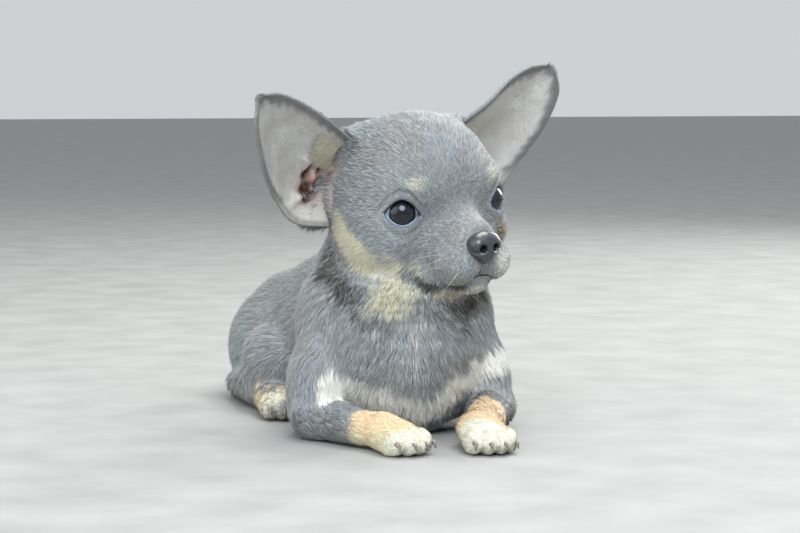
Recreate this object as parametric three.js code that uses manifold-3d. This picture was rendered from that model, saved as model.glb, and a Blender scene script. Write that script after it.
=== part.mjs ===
// A smooth-coated Chihuahua puppy of about nine weeks, blue and tan. It lies on its belly with its
// forelegs stretched forward and its head up, turned to its own left. Millimetres, +Z up. The puppy
// faces -Y, its left is +X, and it rests on the plane Z = 0.
import * as THREE from "three";
import { mergeVertices } from "three/addons/utils/BufferGeometryUtils.js";
import Module from "manifold-3d";

const wasm = await Module();
wasm.setup();

// Driving sizes of the head
const SKULL_R = 30; // half the width of the skull
const EYE_R = 7.4;
const EYE_OPENING = [13.4, 5.6, 4.7]; // width, and height above and below the line of the corners
const EYE_GAZE = 31; // degrees that each eye looks outwards
const NOSE_HALF = [6.5, 4.5, 5.5];
const MUZZLE_REACH = 45.2; // from the middle of the skull to the front of the upper lip
const EAR_SKIN = 2.0; // thickness of an ear near its root
const EAR_RIM = 1.0; // thickness of an ear at its margin

// Driving sizes of the body
const WITHERS = 67; // height of the back over the shoulders
const CROUP = 52; // height of the back over the hips
const CHEST_HALF = 31; // half the width of the rib cage
const CLAW_LENGTH = 2.8;
const CLAW_R = 1.0;

// Where the head is carried
const HEAD_AT = [4, -25, 88];
const HEAD_YAW = 18; // degrees to the puppy's left
const HEAD_ROLL = 6; // degrees, the left ear up
const HEAD_PITCH = 0;

// The middle of the puppy's box, which becomes the origin
const MIDDLE = [3.4, 21.3];

// How the solids are made
const GAP = 0.3; // clear space between two parts that touch
const SHORTEST = 0.4; // the shortest edge that is left in a part
const FACE_CELL = 3.1;
const BODY_CELL = 9;
const PAW_CELL = 3;
const LIMB_CELL = 6.5;
const TAIL_CELL = 3.6;
const SEAM_CELL = 9; // cell of the surfaces that part one region from the next

const radians = (degrees) => (degrees * Math.PI) / 180;
const clamp = (value, low, high) => Math.min(Math.max(value, low), high);
const mix = (a, b, t) => a + (b - a) * t;

// Shapes as distance functions of x, y, z

// An egg with half sizes along its own axes, turned by degrees about x, y and z.
function egg(at, half, turn = [0, 0, 0]) {
  const euler = new THREE.Euler(...turn.map(radians), "ZYX");
  const e = new THREE.Matrix4().makeRotationFromEuler(euler).elements;
  const [a, b, c] = half;
  return (x, y, z) => {
    const dx = x - at[0];
    const dy = y - at[1];
    const dz = z - at[2];
    const u = (e[0] * dx + e[1] * dy + e[2] * dz) / a;
    const v = (e[4] * dx + e[5] * dy + e[6] * dz) / b;
    const w = (e[8] * dx + e[9] * dy + e[10] * dz) / c;
    const near = Math.hypot(u, v, w);
    if (near < 1e-6) return -Math.min(a, b, c);
    return (near * (near - 1)) / Math.hypot(u / a, v / b, w / c);
  };
}

// A limb between two points with a radius at each.
function limb(a, b, ra, rb) {
  const d = [b[0] - a[0], b[1] - a[1], b[2] - a[2]];
  const length2 = d[0] ** 2 + d[1] ** 2 + d[2] ** 2;
  return (x, y, z) => {
    const px = x - a[0];
    const py = y - a[1];
    const pz = z - a[2];
    const t = clamp((px * d[0] + py * d[1] + pz * d[2]) / length2, 0, 1);
    return Math.hypot(px - d[0] * t, py - d[1] * t, pz - d[2] * t) - mix(ra, rb, t);
  };
}

// The nearer of two distances, rounded over where they meet.
function soft(a, b, k) {
  const h = Math.max(k - Math.abs(a - b), 0) / k;
  return Math.min(a, b) - (h * h * k) / 4;
}

// Several forms flowed together with one softness.
const flow = (k, ...forms) => (x, y, z) => forms.reduce((d, f) => soft(d, f(x, y, z), k), 1e3);

// A form and its mirror image across the middle.
const both = (form) => (x, y, z) => form(Math.abs(x), y, z);

// A form given in the head's own frame, asked about in the body's frame.
const headMatrix = new THREE.Matrix4()
  .makeRotationZ(radians(HEAD_YAW))
  .multiply(new THREE.Matrix4().makeRotationY(radians(-HEAD_ROLL)))
  .multiply(new THREE.Matrix4().makeRotationX(radians(HEAD_PITCH)))
  .setPosition(...HEAD_AT);
const headInverse = headMatrix.clone().invert();

function moved(form, matrix) {
  const e = matrix.elements;
  return (x, y, z) =>
    form(
      e[0] * x + e[4] * y + e[8] * z + e[12],
      e[1] * x + e[5] * y + e[9] * z + e[13],
      e[2] * x + e[6] * y + e[10] * z + e[14],
    );
}

// The head, in its own frame: the middle of the skull is the origin

const s = SKULL_R / 30;
const head3 = (x, y, z) => [x * s, y * s, z * s];
const eyeAt = head3(17.2, -19.6, -5);
const noseAt = [0, -MUZZLE_REACH + 0.6, -18 * s];
const lipFront = -MUZZLE_REACH + 9.5;

const skullForm = flow(
  7,
  egg(head3(-2, 0, 0.3), head3(30.8, 31, 28.2)),
  egg(head3(-1.5, -9, 5.8), head3(24.5, 22.5, 21.7)),
  both(egg(head3(17.5, 2.7, 16.8), head3(8.8, 8.8, 8.8))),
  both(egg(head3(17, -7, -15), head3(13, 19, 13))),
  egg(head3(0, -6, -21), head3(19, 22, 13)),
  both(egg(head3(12.5, -22.5, 3.5), head3(9, 7, 6.5))),
);

const muzzleForm = flow(
  4,
  limb(head3(0, -22, -16), [0, lipFront, -18.5 * s], 13 * s, 9.2 * s),
  limb(head3(0, -22, -9), [0, lipFront - 4, -14 * s], 7 * s, 5.2 * s),
  both(egg([6.6 * s, lipFront, -24 * s], head3(7.2, 9.6, 7.8), [0, 0, 8])),
);

const jawForm = flow(
  5,
  limb(head3(0, -12, -26), [0, lipFront + 1, -29.6 * s], 10.5 * s, 6 * s),
  both(limb(head3(10, -12, -24), [5 * s, lipFront + 4, -29 * s], 8.5 * s, 4.6 * s)),
);

const lidForm = both(egg(eyeAt, [EYE_R + 1.5, EYE_R + 1.5, EYE_R + 1.3]));

function headForm(x, y, z) {
  const face = soft(skullForm(x, y, z), muzzleForm(x, y, z), 6);
  const withJaw = soft(face, jawForm(x, y, z), 1.6);
  return soft(withJaw, lidForm(x, y, z), 2.6);
}

// The body, in the part's frame

const neckForm = flow(
  10,
  limb([0, -8, 46.5], [3, -19, 77], 31, 26),
  limb([0, -28, 42], [3, -34, 61], 23, 16),
);

const torsoForm = flow(
  12,
  egg([-1, 0, WITHERS / 2 - 1.5], [CHEST_HALF, 44, WITHERS / 2 + 1.5]),
  egg([0, -33, 28.2], [27, 22, 29.3]),
  egg([-8, 42, 29], [28, 44, 33]),
  egg([-17, 80, CROUP / 2 - 1.5], [24, 34, CROUP / 2 + 1.5], [0, 0, -12]),
);

// Each foreleg: 1 for the puppy's left, -1 for its right.
const forelegs = {
  left: {
    side: 1, elbow: [30, -37, 9.5], shoulder: [21, -22, 32],
    wrist: [19, -70, 7.8], paw: [15, -84, 6], heading: 4,
  },
  right: {
    side: -1, elbow: [-35, -42, 8.5], shoulder: [-25, -23, 32],
    wrist: [-24.5, -66, 7], paw: [-16, -80, 6], heading: 24,
  },
};
const hindlegs = {
  left: {
    side: 1, thigh: [5, 76, 20.5], knee: [22, 44, 17.5],
    hock: [25, 72, 7], paw: [33, 17, 6], heading: -6,
  },
  right: {
    side: -1, thigh: [-32.5, 73, 20.5], knee: [-37, 38, 17.5],
    hock: [-41, 72, 7], paw: [-38, 15, 6], heading: 6,
  },
};

function forelegForms({ side, elbow, shoulder, wrist }) {
  return {
    upper: flow(
      8,
      egg(shoulder, [14, 23, 28], [0, side * 8, 0]),
      egg([elbow[0], elbow[1] + 8, 17], [10.5, 17, 18]),
    ),
    lower: flow(5, limb(elbow, wrist, 9, 6.8), limb(elbow, [elbow[0], elbow[1] + 12, 9], 9, 8.5)),
  };
}

function hindlegForms({ side, thigh, knee, hock, paw }) {
  return {
    upper: flow(8, egg(thigh, [15, 31, 20.5], [0, 0, -side * 3 - 6]), egg(knee, [11.5, 17.5, 16.5])),
    lower: flow(5, limb([knee[0] + side * 2, knee[1] + 4, 12], hock, 10, 6.6), limb(hock, paw, 6.2, 6.2)),
  };
}

// A paw with four toes that fan out. Heading is in degrees, positive to the puppy's left.
const TOES = [-1.5, -0.5, 0.5, 1.5];
const toeReach = (n) => (Math.abs(n) < 1 ? 9.6 : 6.8);

function pawMatrix(at, heading) {
  return new THREE.Matrix4().makeRotationZ(radians(heading)).setPosition(...at);
}

function pawForm(at, heading, size) {
  const toes = TOES.map((n) =>
    egg([n * 4.7 * size, -toeReach(n) * size, -1.6], [3.1 * size, 6.4 * size, 5 * size], [0, 0, -n * 5]),
  );
  const pad = flow(
    3,
    egg([0, 0, -0.5], [9.4 * size, 10 * size, 6.8 * size]),
    egg([0, 8 * size, 1], [8 * size, 9 * size, 7 * size]),
  );
  const paw = (x, y, z) => toes.reduce((d, toe) => soft(d, toe(x, y, z), 1.5), pad(x, y, z));
  return moved(paw, pawMatrix(at, heading).invert());
}

const tailPoints = [
  [-24, 104, 27.5],
  [-27, 119, 13],
  [-20, 132, 5],
  [-3, 139, 3.4],
  [14, 136, 2.6],
].map((p) => new THREE.Vector3(...p));
const tailCurve = new THREE.CatmullRomCurve3(tailPoints);
const TAIL_STEPS = 12;
const tailRadius = (t) => mix(8.5, 2.6, Math.sqrt(t));

function tailForms() {
  const steps = [];
  for (let i = 0; i < TAIL_STEPS; i += 1) {
    const [t, u] = [i / TAIL_STEPS, (i + 1) / TAIL_STEPS];
    const [from, to] = [t, u].map((place) => tailCurve.getPoint(place).toArray());
    steps.push(limb(from, to, tailRadius(t), tailRadius(u)));
  }
  return flow(2, ...steps);
}

const foreleg = { left: forelegForms(forelegs.left), right: forelegForms(forelegs.right) };
const hindleg = { left: hindlegForms(hindlegs.left), right: hindlegForms(hindlegs.right) };
const FORE_PAW = 0.94;
const HIND_PAW = 0.88;

// Every part of the flesh that becomes a node of its own, as a distance in the body's frame.
const forms = {
  head: moved(headForm, headInverse),
  neck: neckForm,
  torso: torsoForm,
  tail: tailForms(),
};
for (const side of ["left", "right"]) {
  forms["foreleg_" + side] = flow(7, foreleg[side].upper, foreleg[side].lower);
  forms["hindleg_" + side] = flow(6, hindleg[side].upper, hindleg[side].lower);
  forms["forepaw_" + side] = pawForm(forelegs[side].paw, forelegs[side].heading, FORE_PAW);
  forms["hindpaw_" + side] = pawForm(hindlegs[side].paw, hindlegs[side].heading, HIND_PAW);
}

// The whole skin. Limbs flow softly into the trunk and leave a crease where they only lie against it.
function body(x, y, z) {
  let d = soft(forms.torso(x, y, z), forms.neck(x, y, z), 13);
  for (const side of ["left", "right"]) {
    d = soft(d, foreleg[side].upper(x, y, z), 7);
    d = soft(d, hindleg[side].upper(x, y, z), 6);
  }
  for (const side of ["left", "right"]) {
    const lower = soft(foreleg[side].lower(x, y, z), forms["forepaw_" + side](x, y, z), 4);
    const hind = soft(hindleg[side].lower(x, y, z), forms["hindpaw_" + side](x, y, z), 4);
    d = soft(soft(d, lower, 2.4), hind, 2.4);
  }
  d = soft(d, forms.tail(x, y, z), 5);
  return soft(d, forms.head(x, y, z), 7);
}

// From a distance function to a closed surface

// Evenly spaced marks from low to high, no further apart than step.
function marks(low, high, step) {
  const count = Math.ceil((high - low) / step);
  return Array.from({ length: count + 1 }, (_, i) => mix(low, high, i / count));
}

// Marks whose step grows from fine, inside a stretch, to coarse, outside it.
function gradedMarks(low, high, fine, coarse, from, to) {
  const out = [low];
  while (out[out.length - 1] < high) {
    const here = out[out.length - 1];
    const away = Math.max(from - here, here - to, 0);
    out.push(here + Math.min(coarse, fine + away * 0.16));
  }
  return out;
}

// A closed net where the field is zero, with one vertex in each grid cell that the surface crosses.
function net(field, [xs, ys, zs], reachFactor = 0.5) {
  const [nx, ny, nz] = [xs.length, ys.length, zs.length];
  const at = (i, j, k) => (i * ny + j) * nz + k;
  const value = new Float64Array(nx * ny * nz);
  for (let i = 0; i < nx; i += 1)
    for (let j = 0; j < ny; j += 1)
      for (let k = 0; k < nz; k += 1) {
        const edge = i === 0 || j === 0 || k === 0 || i === nx - 1 || j === ny - 1 || k === nz - 1;
        const d = field(xs[i], ys[j], zs[k]);
        value[at(i, j, k)] = edge ? Math.max(d, 0.3) : d || 1e-9;
      }
  const vertexOf = new Int32Array(nx * ny * nz).fill(-1);
  const points = [];
  const corner = (n) => [n & 1, (n >> 1) & 1, (n >> 2) & 1];
  const edges = [];
  for (let a = 0; a < 8; a += 1)
    for (const bit of [1, 2, 4]) if (!(a & bit)) edges.push([corner(a), corner(a | bit)]);
  for (let i = 0; i < nx - 1; i += 1)
    for (let j = 0; j < ny - 1; j += 1)
      for (let k = 0; k < nz - 1; k += 1) {
        const sum = [0, 0, 0];
        let count = 0;
        for (const [a, b] of edges) {
          const va = value[at(i + a[0], j + a[1], k + a[2])];
          const vb = value[at(i + b[0], j + b[1], k + b[2])];
          if (va < 0 === vb < 0) continue;
          const t = va / (va - vb);
          sum[0] += mix(xs[i + a[0]], xs[i + b[0]], t);
          sum[1] += mix(ys[j + a[1]], ys[j + b[1]], t);
          sum[2] += mix(zs[k + a[2]], zs[k + b[2]], t);
          count += 1;
        }
        if (!count) continue;
        vertexOf[at(i, j, k)] = points.length / 3;
        const reach = reachFactor * Math.min(xs[i + 1] - xs[i], ys[j + 1] - ys[j], zs[k + 1] - zs[k]);
        points.push(...settle(field, sum.map((v) => v / count), reach));
      }
  const faces = [];
  const quad = (a, b, c, d, flip) => {
    if (flip) faces.push(a, b, c, a, c, d);
    else faces.push(a, c, b, a, d, c);
  };
  for (let i = 0; i < nx - 1; i += 1)
    for (let j = 0; j < ny - 1; j += 1)
      for (let k = 0; k < nz - 1; k += 1) {
        const here = value[at(i, j, k)] < 0;
        const cell = (di, dj, dk) => vertexOf[at(i + di, j + dj, k + dk)];
        if (j && k && here !== value[at(i + 1, j, k)] < 0)
          quad(cell(0, -1, -1), cell(0, 0, -1), cell(0, 0, 0), cell(0, -1, 0), here);
        if (i && k && here !== value[at(i, j + 1, k)] < 0)
          quad(cell(-1, 0, -1), cell(-1, 0, 0), cell(0, 0, 0), cell(0, 0, -1), here);
        if (i && j && here !== value[at(i, j, k + 1)] < 0)
          quad(cell(-1, -1, 0), cell(0, -1, 0), cell(0, 0, 0), cell(-1, 0, 0), here);
      }
  return { points: new Float32Array(points), faces: new Uint32Array(faces) };
}

// Slides a point along the slope of the field onto its surface, by no more than reach.
function settle(field, point, reach) {
  let [x, y, z] = point;
  for (let step = 0; step < 3; step += 1) {
    const d = field(x, y, z);
    if (Math.abs(d) > reach * 1.6) return point;
    const e = 0.05;
    const g = [
      (field(x + e, y, z) - field(x - e, y, z)) / (2 * e),
      (field(x, y + e, z) - field(x, y - e, z)) / (2 * e),
      (field(x, y, z + e) - field(x, y, z - e)) / (2 * e),
    ];
    const slope2 = Math.max(g[0] ** 2 + g[1] ** 2 + g[2] ** 2, 0.3);
    x -= (d * g[0]) / slope2;
    y -= (d * g[1]) / slope2;
    z -= (d * g[2]) / slope2;
  }
  const shift = Math.hypot(x - point[0], y - point[1], z - point[2]);
  return shift > reach ? point : [x, y, z];
}

// Solids

const surface = (field, xs, ys, zs) => {
  const { points, faces } = net(field, [xs, ys, zs]);
  return solid(points, faces);
};

function solid(positions, faces) {
  return new wasm.Manifold(new wasm.Mesh({ numProp: 3, vertProperties: positions, triVerts: faces }));
}

function solidOf(geometry, matrix) {
  const bare = new THREE.BufferGeometry();
  bare.setAttribute("position", geometry.getAttribute("position").clone());
  bare.setIndex(geometry.index);
  if (matrix) bare.applyMatrix4(matrix);
  const merged = mergeVertices(bare, 1e-4);
  return solid(new Float32Array(merged.attributes.position.array), new Uint32Array(merged.index.array));
}

function geometryOf(made) {
  const mesh = made.getMesh();
  const positions = new Float32Array(mesh.numVert * 3);
  for (let i = 0; i < mesh.numVert; i += 1)
    positions.set(mesh.vertProperties.subarray(i * mesh.numProp, i * mesh.numProp + 3), i * 3);
  const geometry = new THREE.BufferGeometry();
  geometry.setAttribute("position", new THREE.BufferAttribute(positions, 3));
  geometry.setIndex(new THREE.BufferAttribute(new Uint32Array(mesh.triVerts), 1));
  const clean = withoutSlivers(partedWhereItTouches(geometry));
  clean.computeVertexNormals();
  return clean;
}

// The largest closed surface of a solid.
function largest(made) {
  return made.decompose().reduce((best, piece) => (piece.volume() > best.volume() ? piece : best));
}

// Draws corners that lie on one spot but belong to different stretches of skin slightly into the solid.
function partedWhereItTouches(geometry) {
  geometry.computeVertexNormals();
  const spots = geometry.getAttribute("position");
  const normals = geometry.getAttribute("normal");
  const sharing = new Map();
  for (let i = 0; i < spots.count; i += 1) {
    const key = [spots.getX(i), spots.getY(i), spots.getZ(i)].map((v) => v.toFixed(2)).join();
    sharing.set(key, [...(sharing.get(key) ?? []), i]);
  }
  for (const group of sharing.values()) {
    if (group.length < 2) continue;
    for (const i of group) {
      const inward = new THREE.Vector3().fromBufferAttribute(normals, i).multiplyScalar(-0.04);
      inward.add(new THREE.Vector3().fromBufferAttribute(spots, i));
      spots.setXYZ(i, ...inward.toArray());
    }
  }
  return geometry;
}

// Collapses edges shorter than SHORTEST, each only where the surface stays closed and no face turns over.
function withoutSlivers(geometry) {
  const spots = geometry.getAttribute("position");
  const at = Array.from({ length: spots.count }, (_, i) =>
    new THREE.Vector3().fromBufferAttribute(spots, i));
  const faces = [];
  for (let i = 0; i < geometry.index.count; i += 3) {
    faces.push([0, 1, 2].map((n) => geometry.index.getX(i + n)));
  }
  const around = at.map(() => new Set());
  faces.forEach((face, f) => face.forEach((v) => around[v].add(f)));
  const nextTo = (v) => new Set([...around[v]].flatMap((f) => faces[f]).filter((u) => u !== v));
  const normal = (corners) => {
    const [a, b, c] = corners;
    return b.clone().sub(a).cross(c.clone().sub(a));
  };
  const keepsFacing = (from, to) =>
    [...around[from]].every((f) => {
      if (faces[f].includes(to)) return true;
      const before = normal(faces[f].map((v) => at[v]));
      const after = normal(faces[f].map((v) => at[v === from ? to : v]));
      const thin = before.length() < 0.02 && after.length() > 1e-3;
      return thin || (before.angleTo(after) < 0.5 && after.length() > 1e-3);
    });
  let changed = true;
  while (changed) {
    changed = false;
    const edges = [];
    faces.forEach((face) => {
      if (face) face.forEach((a, n) => a < face[(n + 1) % 3] && edges.push([a, face[(n + 1) % 3]]));
    });
    const length = ([a, b]) => at[a].distanceTo(at[b]);
    const short = edges.filter((edge) => length(edge) < SHORTEST).sort((p, q) => length(p) - length(q));
    for (const [a, b] of short) {
      if (!around[a].size || !around[b].size || !nextTo(a).has(b)) continue;
      const ring = nextTo(b);
      if ([...nextTo(a)].filter((v) => ring.has(v)).length !== 2) continue;
      const [to, from] = keepsFacing(b, a) ? [a, b] : [b, a];
      if (to === b && !keepsFacing(a, b)) continue;
      for (const f of [...around[from]]) {
        if (faces[f].includes(to)) {
          faces[f].forEach((v) => around[v].delete(f));
          faces[f] = null;
        } else {
          faces[f] = faces[f].map((v) => (v === from ? to : v));
          around[to].add(f);
        }
      }
      around[from].clear();
      changed = true;
    }
  }
  const out = new THREE.BufferGeometry();
  out.setAttribute("position", spots);
  out.setIndex(faces.filter(Boolean).flat());
  return out;
}

function turned(made, matrix) {
  return made.transform([...matrix.elements]);
}

// The region in which one form is nearer than its neighbours, once shrunk and once grown by half the gap.
// A claim in millimetres moves the seam away from the form.
function region(name, others, box, { cell = SEAM_CELL, matrix = null, claim = 0 } = {}) {
  const near = (x, y, z) => {
    const rest = others.reduce((d, other) => Math.min(d, forms[other](x, y, z)), 1e3);
    return (forms[name](x, y, z) - claim - rest) / 2;
  };
  const field = matrix ? moved(near, matrix) : near;
  const grid = [0, 1, 2].map((axis) => marks(box[0][axis], box[1][axis], cell));
  const { points, faces } = net(field, grid, 0);
  const middle = new THREE.BufferGeometry();
  middle.setAttribute("position", new THREE.BufferAttribute(points, 3));
  middle.setIndex(new THREE.BufferAttribute(faces, 1));
  middle.computeVertexNormals();
  const normals = middle.getAttribute("normal").array;
  const grown = (by) => solid(points.map((value, i) => value + normals[i] * by), faces);
  return { inner: grown(-GAP / 2), outer: grown(GAP / 2) };
}

// The head and what it carries

function headSolid() {
  const inHead = moved(body, headMatrix);
  const xs = marks(-38, 38, FACE_CELL);
  const ys = gradedMarks(-56, 38, FACE_CELL, 6, -56, -16);
  const below = gradedMarks(38, 60, FACE_CELL, 6, 0, 38).map((z) => -z).reverse();
  const zs = [...below, ...gradedMarks(-34, 36, FACE_CELL, 6, -36, 2)];
  return surface(inHead, xs, ys, [...new Set(zs)].sort((a, b) => a - b));
}

// The socket and the almond opening between the lids, in the frame of one eye that looks along -Y.
function eyeMatrix(side) {
  return new THREE.Matrix4()
    .makeRotationZ(radians(side * EYE_GAZE))
    .multiply(new THREE.Matrix4().makeRotationY(radians(side * -7)))
    .setPosition(side * eyeAt[0], eyeAt[1], eyeAt[2]);
}

function lidOpening() {
  const [width, up, down] = EYE_OPENING;
  const almond = new THREE.Shape();
  almond.moveTo(-width / 2, 0);
  almond.bezierCurveTo(-width / 4, up * 1.25, width / 4, up * 1.25, width / 2, 0);
  almond.bezierCurveTo(width / 4, -down * 1.25, -width / 4, -down * 1.25, -width / 2, 0);
  const settings = { depth: EYE_R * 2, bevelEnabled: false, curveSegments: 9 };
  const prism = new THREE.ExtrudeGeometry(almond, settings);
  return prism.rotateX(radians(90));
}

function eyeSolid(side) {
  const ball = new THREE.SphereGeometry(EYE_R, 16, 11).rotateX(radians(90));
  const position = ball.getAttribute("position");
  for (let i = 0; i < position.count; i += 1) {
    const forward = -position.getY(i) / EYE_R;
    const bulge = 1 + 0.07 * Math.max(0, (forward - 0.62) / 0.38) ** 0.8;
    position.setXYZ(i, position.getX(i), position.getY(i) * bulge, position.getZ(i));
  }
  return solidOf(ball, eyeMatrix(side));
}

function socketSolid(side) {
  const ball = new THREE.SphereGeometry(EYE_R + GAP, 14, 9);
  return solidOf(ball, eyeMatrix(side)).add(solidOf(lidOpening(), eyeMatrix(side)));
}

// The line between the lips: a groove that follows the skin from below the nose to each corner.
const MOUTH = [
  [0, -42, -29],
  [4.6, -41, -31],
  [8, -36, -33],
  [10.5, -27.5, -32.8],
  [13.5, -23.6, -30.6],
  [17.2, -20, -26.4],
];

function grooveSolid(line, radius, steps) {
  const onSkin = line.map(([x, y, z]) => new THREE.Vector3(...settle(headForm, [x, y, z], 9)));
  return sweep(new THREE.CatmullRomCurve3(onSkin), steps, radius, 6);
}

function mouthSolid() {
  const sides = [1, -1].map((side) => MOUTH.map(([x, y, z]) => [x * side, y, z]));
  const line = [...sides[0].reverse(), ...sides[1].slice(1)];
  return grooveSolid(line, (t) => mix(0.45, 0.95, Math.sin(Math.PI * t)), 22);
}

function philtrumSolid() {
  const line = [0, 0.5, 1].map((t) => [0, mix(-MUZZLE_REACH, MOUTH[0][1], t * t), mix(-22, MOUTH[0][2], t)]);
  return grooveSolid(line, () => 0.45, 3);
}

// The bare pad of the nose, with a nostril on each side that runs out into a slit.
function noseForm(grow) {
  const [a, b, c] = NOSE_HALF;
  const pad = flow(
    1.6,
    egg(noseAt, [a - 1, b, c]),
    both(egg([noseAt[0] + a * 0.52, noseAt[1] + 0.5, noseAt[2] + 0.4], [a * 0.46, b * 0.9, c * 0.68])),
    egg([0, noseAt[1] + 0.6, noseAt[2] - c * 0.62], [2.6, b * 0.85, c * 0.55]),
  );
  return (x, y, z) => pad(x, y, z) - grow;
}

function noseSolid(grow) {
  const cell = 1.9;
  const [a, b, c] = NOSE_HALF;
  return surface(
    noseForm(grow),
    marks(-a - 3, a + 3, cell),
    marks(noseAt[1] - b - 3, noseAt[1] + b + 3, cell),
    marks(noseAt[2] - c - 4, noseAt[2] + c + 3, cell),
  );
}

function nostril(side) {
  const [a, b] = NOSE_HALF;
  const points = [
    new THREE.Vector3(side * a * 0.3, noseAt[1] - b * 0.1, noseAt[2] + 0.6),
    new THREE.Vector3(side * a * 0.4, noseAt[1] - b * 0.72, noseAt[2] - 0.2),
    new THREE.Vector3(side * a * 0.44, noseAt[1] - b * 1.5, noseAt[2] - 0.8),
  ];
  const hole = sweep(new THREE.CatmullRomCurve3(points), 3, () => 1.5, 8);
  const slit = [
    new THREE.Vector3(side * a * 0.42, noseAt[1] - b * 0.98, noseAt[2] - 1.2),
    new THREE.Vector3(side * a * 0.78, noseAt[1] - b * 0.78, noseAt[2] - 2.8),
    new THREE.Vector3(side * a * 1.14, noseAt[1] - b * 0.2, noseAt[2] - 1.2),
  ];
  return hole.add(sweep(new THREE.CatmullRomCurve3(slit), 4, () => 0.75, 6));
}

// A closed tube along a curve, with a radius for each place on it.
function sweep(curve, steps, radius, sides) {
  const ring = new THREE.Shape().absarc(0, 0, 1, 0, Math.PI * 2);
  const tube = new THREE.ExtrudeGeometry(ring, {
    steps,
    curveSegments: Math.ceil(sides / 2),
    extrudePath: curve,
    bevelEnabled: false,
  });
  const position = tube.getAttribute("position");
  const point = new THREE.Vector3();
  const centres = Array.from({ length: steps + 1 }, (_, i) => curve.getPointAt(i / steps));
  for (let i = 0; i < position.count; i += 1) {
    point.fromBufferAttribute(position, i);
    let best = 0;
    centres.forEach((c, n) => {
      if (Math.abs(c.distanceTo(point) - 1) < Math.abs(centres[best].distanceTo(point) - 1)) best = n;
    });
    const centre = centres[best];
    point.sub(centre).multiplyScalar(radius(best / steps)).add(centre);
    position.setXYZ(i, point.x, point.y, point.z);
  }
  return solidOf(tube);
}

// One ear: a leaf of skin between an inner margin, an outer margin and a hollow middle line.
const earInner = [
  [18, 1.5, 18.4],
  [33.6, -5.8, 28.8],
  [44.6, -5.7, 36.9],
  [53.6, -6.4, 40.9],
  [60.2, -6.9, 41.2],
];
const earOuter = [
  [26, 13, -8],
  [41.5, 11.5, -4.6],
  [50, 8, 4],
  [56.3, 3.4, 12],
  [61.2, -2, 21],
  [64.5, -6.4, 32],
  [63, -7, 38.6],
];
const earMiddle = [
  [22, 15, 5],
  [37, 13, 13],
  [50, 6, 23],
  [62.4, -6.4, 40.6],
];
// How each ear is carried: degrees turned about x, y and z, and where its root is moved.
const earTurn = { left: [-3.8, 2.1, -1], right: [-3.7, 0, 5.2] };
const earShift = { left: [-0.8, -0.2, -0.2], right: [-2.9, 0.3, -0.2] };
const EAR_ALONG = 11;
const EAR_ACROSS = 7;

function earPoint(curves, u, v) {
  const [inner, outer, middle] = curves.map((curve) => curve.getPoint(u));
  const bend = middle.clone().multiplyScalar(2).sub(inner.clone().add(outer).multiplyScalar(0.5));
  const t = v;
  return inner
    .multiplyScalar((1 - t) ** 2)
    .addScaledVector(bend, 2 * t * (1 - t))
    .addScaledVector(outer, t * t);
}

function earSolid(side) {
  const curves = [earInner, earOuter, earMiddle].map(
    (line) => new THREE.CatmullRomCurve3(
      line.map((p) => new THREE.Vector3(p[0] * s * side, p[1] * s, p[2] * s)),
    ),
  );
  const [rows, columns] = [EAR_ALONG + 1, EAR_ACROSS + 1];
  const front = [];
  const back = [];
  for (let i = 0; i < rows; i += 1)
    for (let j = 0; j < columns; j += 1) {
      const u = i / EAR_ALONG;
      const v = j / EAR_ACROSS;
      const step = 1e-3;
      const here = earPoint(curves, u, v);
      const from = Math.min(u, 1 - step);
      const along = earPoint(curves, from + step, v).sub(earPoint(curves, from, v));
      const across = earPoint(curves, u, Math.min(v, 1 - step) + step).sub(
        earPoint(curves, u, Math.min(v, 1 - step)),
      );
      const normal = along.cross(across).normalize().multiplyScalar(side);
      const rim = Math.max(Math.abs(v * 2 - 1) ** 3, u ** 4);
      front.push(here.clone());
      back.push(here.clone().addScaledVector(normal, mix(EAR_SKIN, EAR_RIM, rim)));
    }
  const points = [...front, ...back].flatMap((p) => p.toArray());
  const faces = [];
  const half = rows * columns;
  const id = (i, j, layer) => layer * half + i * columns + j;
  const add = (a, b, c, d) => {
    if (side > 0) faces.push(a, b, c, a, c, d);
    else faces.push(a, c, b, a, d, c);
  };
  for (let i = 0; i < EAR_ALONG; i += 1)
    for (let j = 0; j < EAR_ACROSS; j += 1) {
      add(id(i, j, 1), id(i + 1, j, 1), id(i + 1, j + 1, 1), id(i, j + 1, 1));
      add(id(i, j, 0), id(i, j + 1, 0), id(i + 1, j + 1, 0), id(i + 1, j, 0));
    }
  for (let i = 0; i < EAR_ALONG; i += 1) {
    add(id(i, 0, 0), id(i + 1, 0, 0), id(i + 1, 0, 1), id(i, 0, 1));
    add(id(i, EAR_ACROSS, 0), id(i, EAR_ACROSS, 1), id(i + 1, EAR_ACROSS, 1), id(i + 1, EAR_ACROSS, 0));
  }
  for (let j = 0; j < EAR_ACROSS; j += 1) {
    add(id(0, j, 0), id(0, j, 1), id(0, j + 1, 1), id(0, j + 1, 0));
    add(id(EAR_ALONG, j, 0), id(EAR_ALONG, j + 1, 0), id(EAR_ALONG, j + 1, 1), id(EAR_ALONG, j, 1));
  }
  return solid(new Float32Array(points), new Uint32Array(faces));
}

// The head grown by the gap, near the ears, which trims each ear to meet the skull face to face.
function headTrimmer() {
  const inHead = moved(body, headMatrix);
  const cells = [marks(-38, 38, 2.6), marks(-30, 40, 2.6), marks(-40, 38, 2.6)];
  return surface((x, y, z) => inHead(x, y, z) - GAP, ...cells);
}

// Claws

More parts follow.
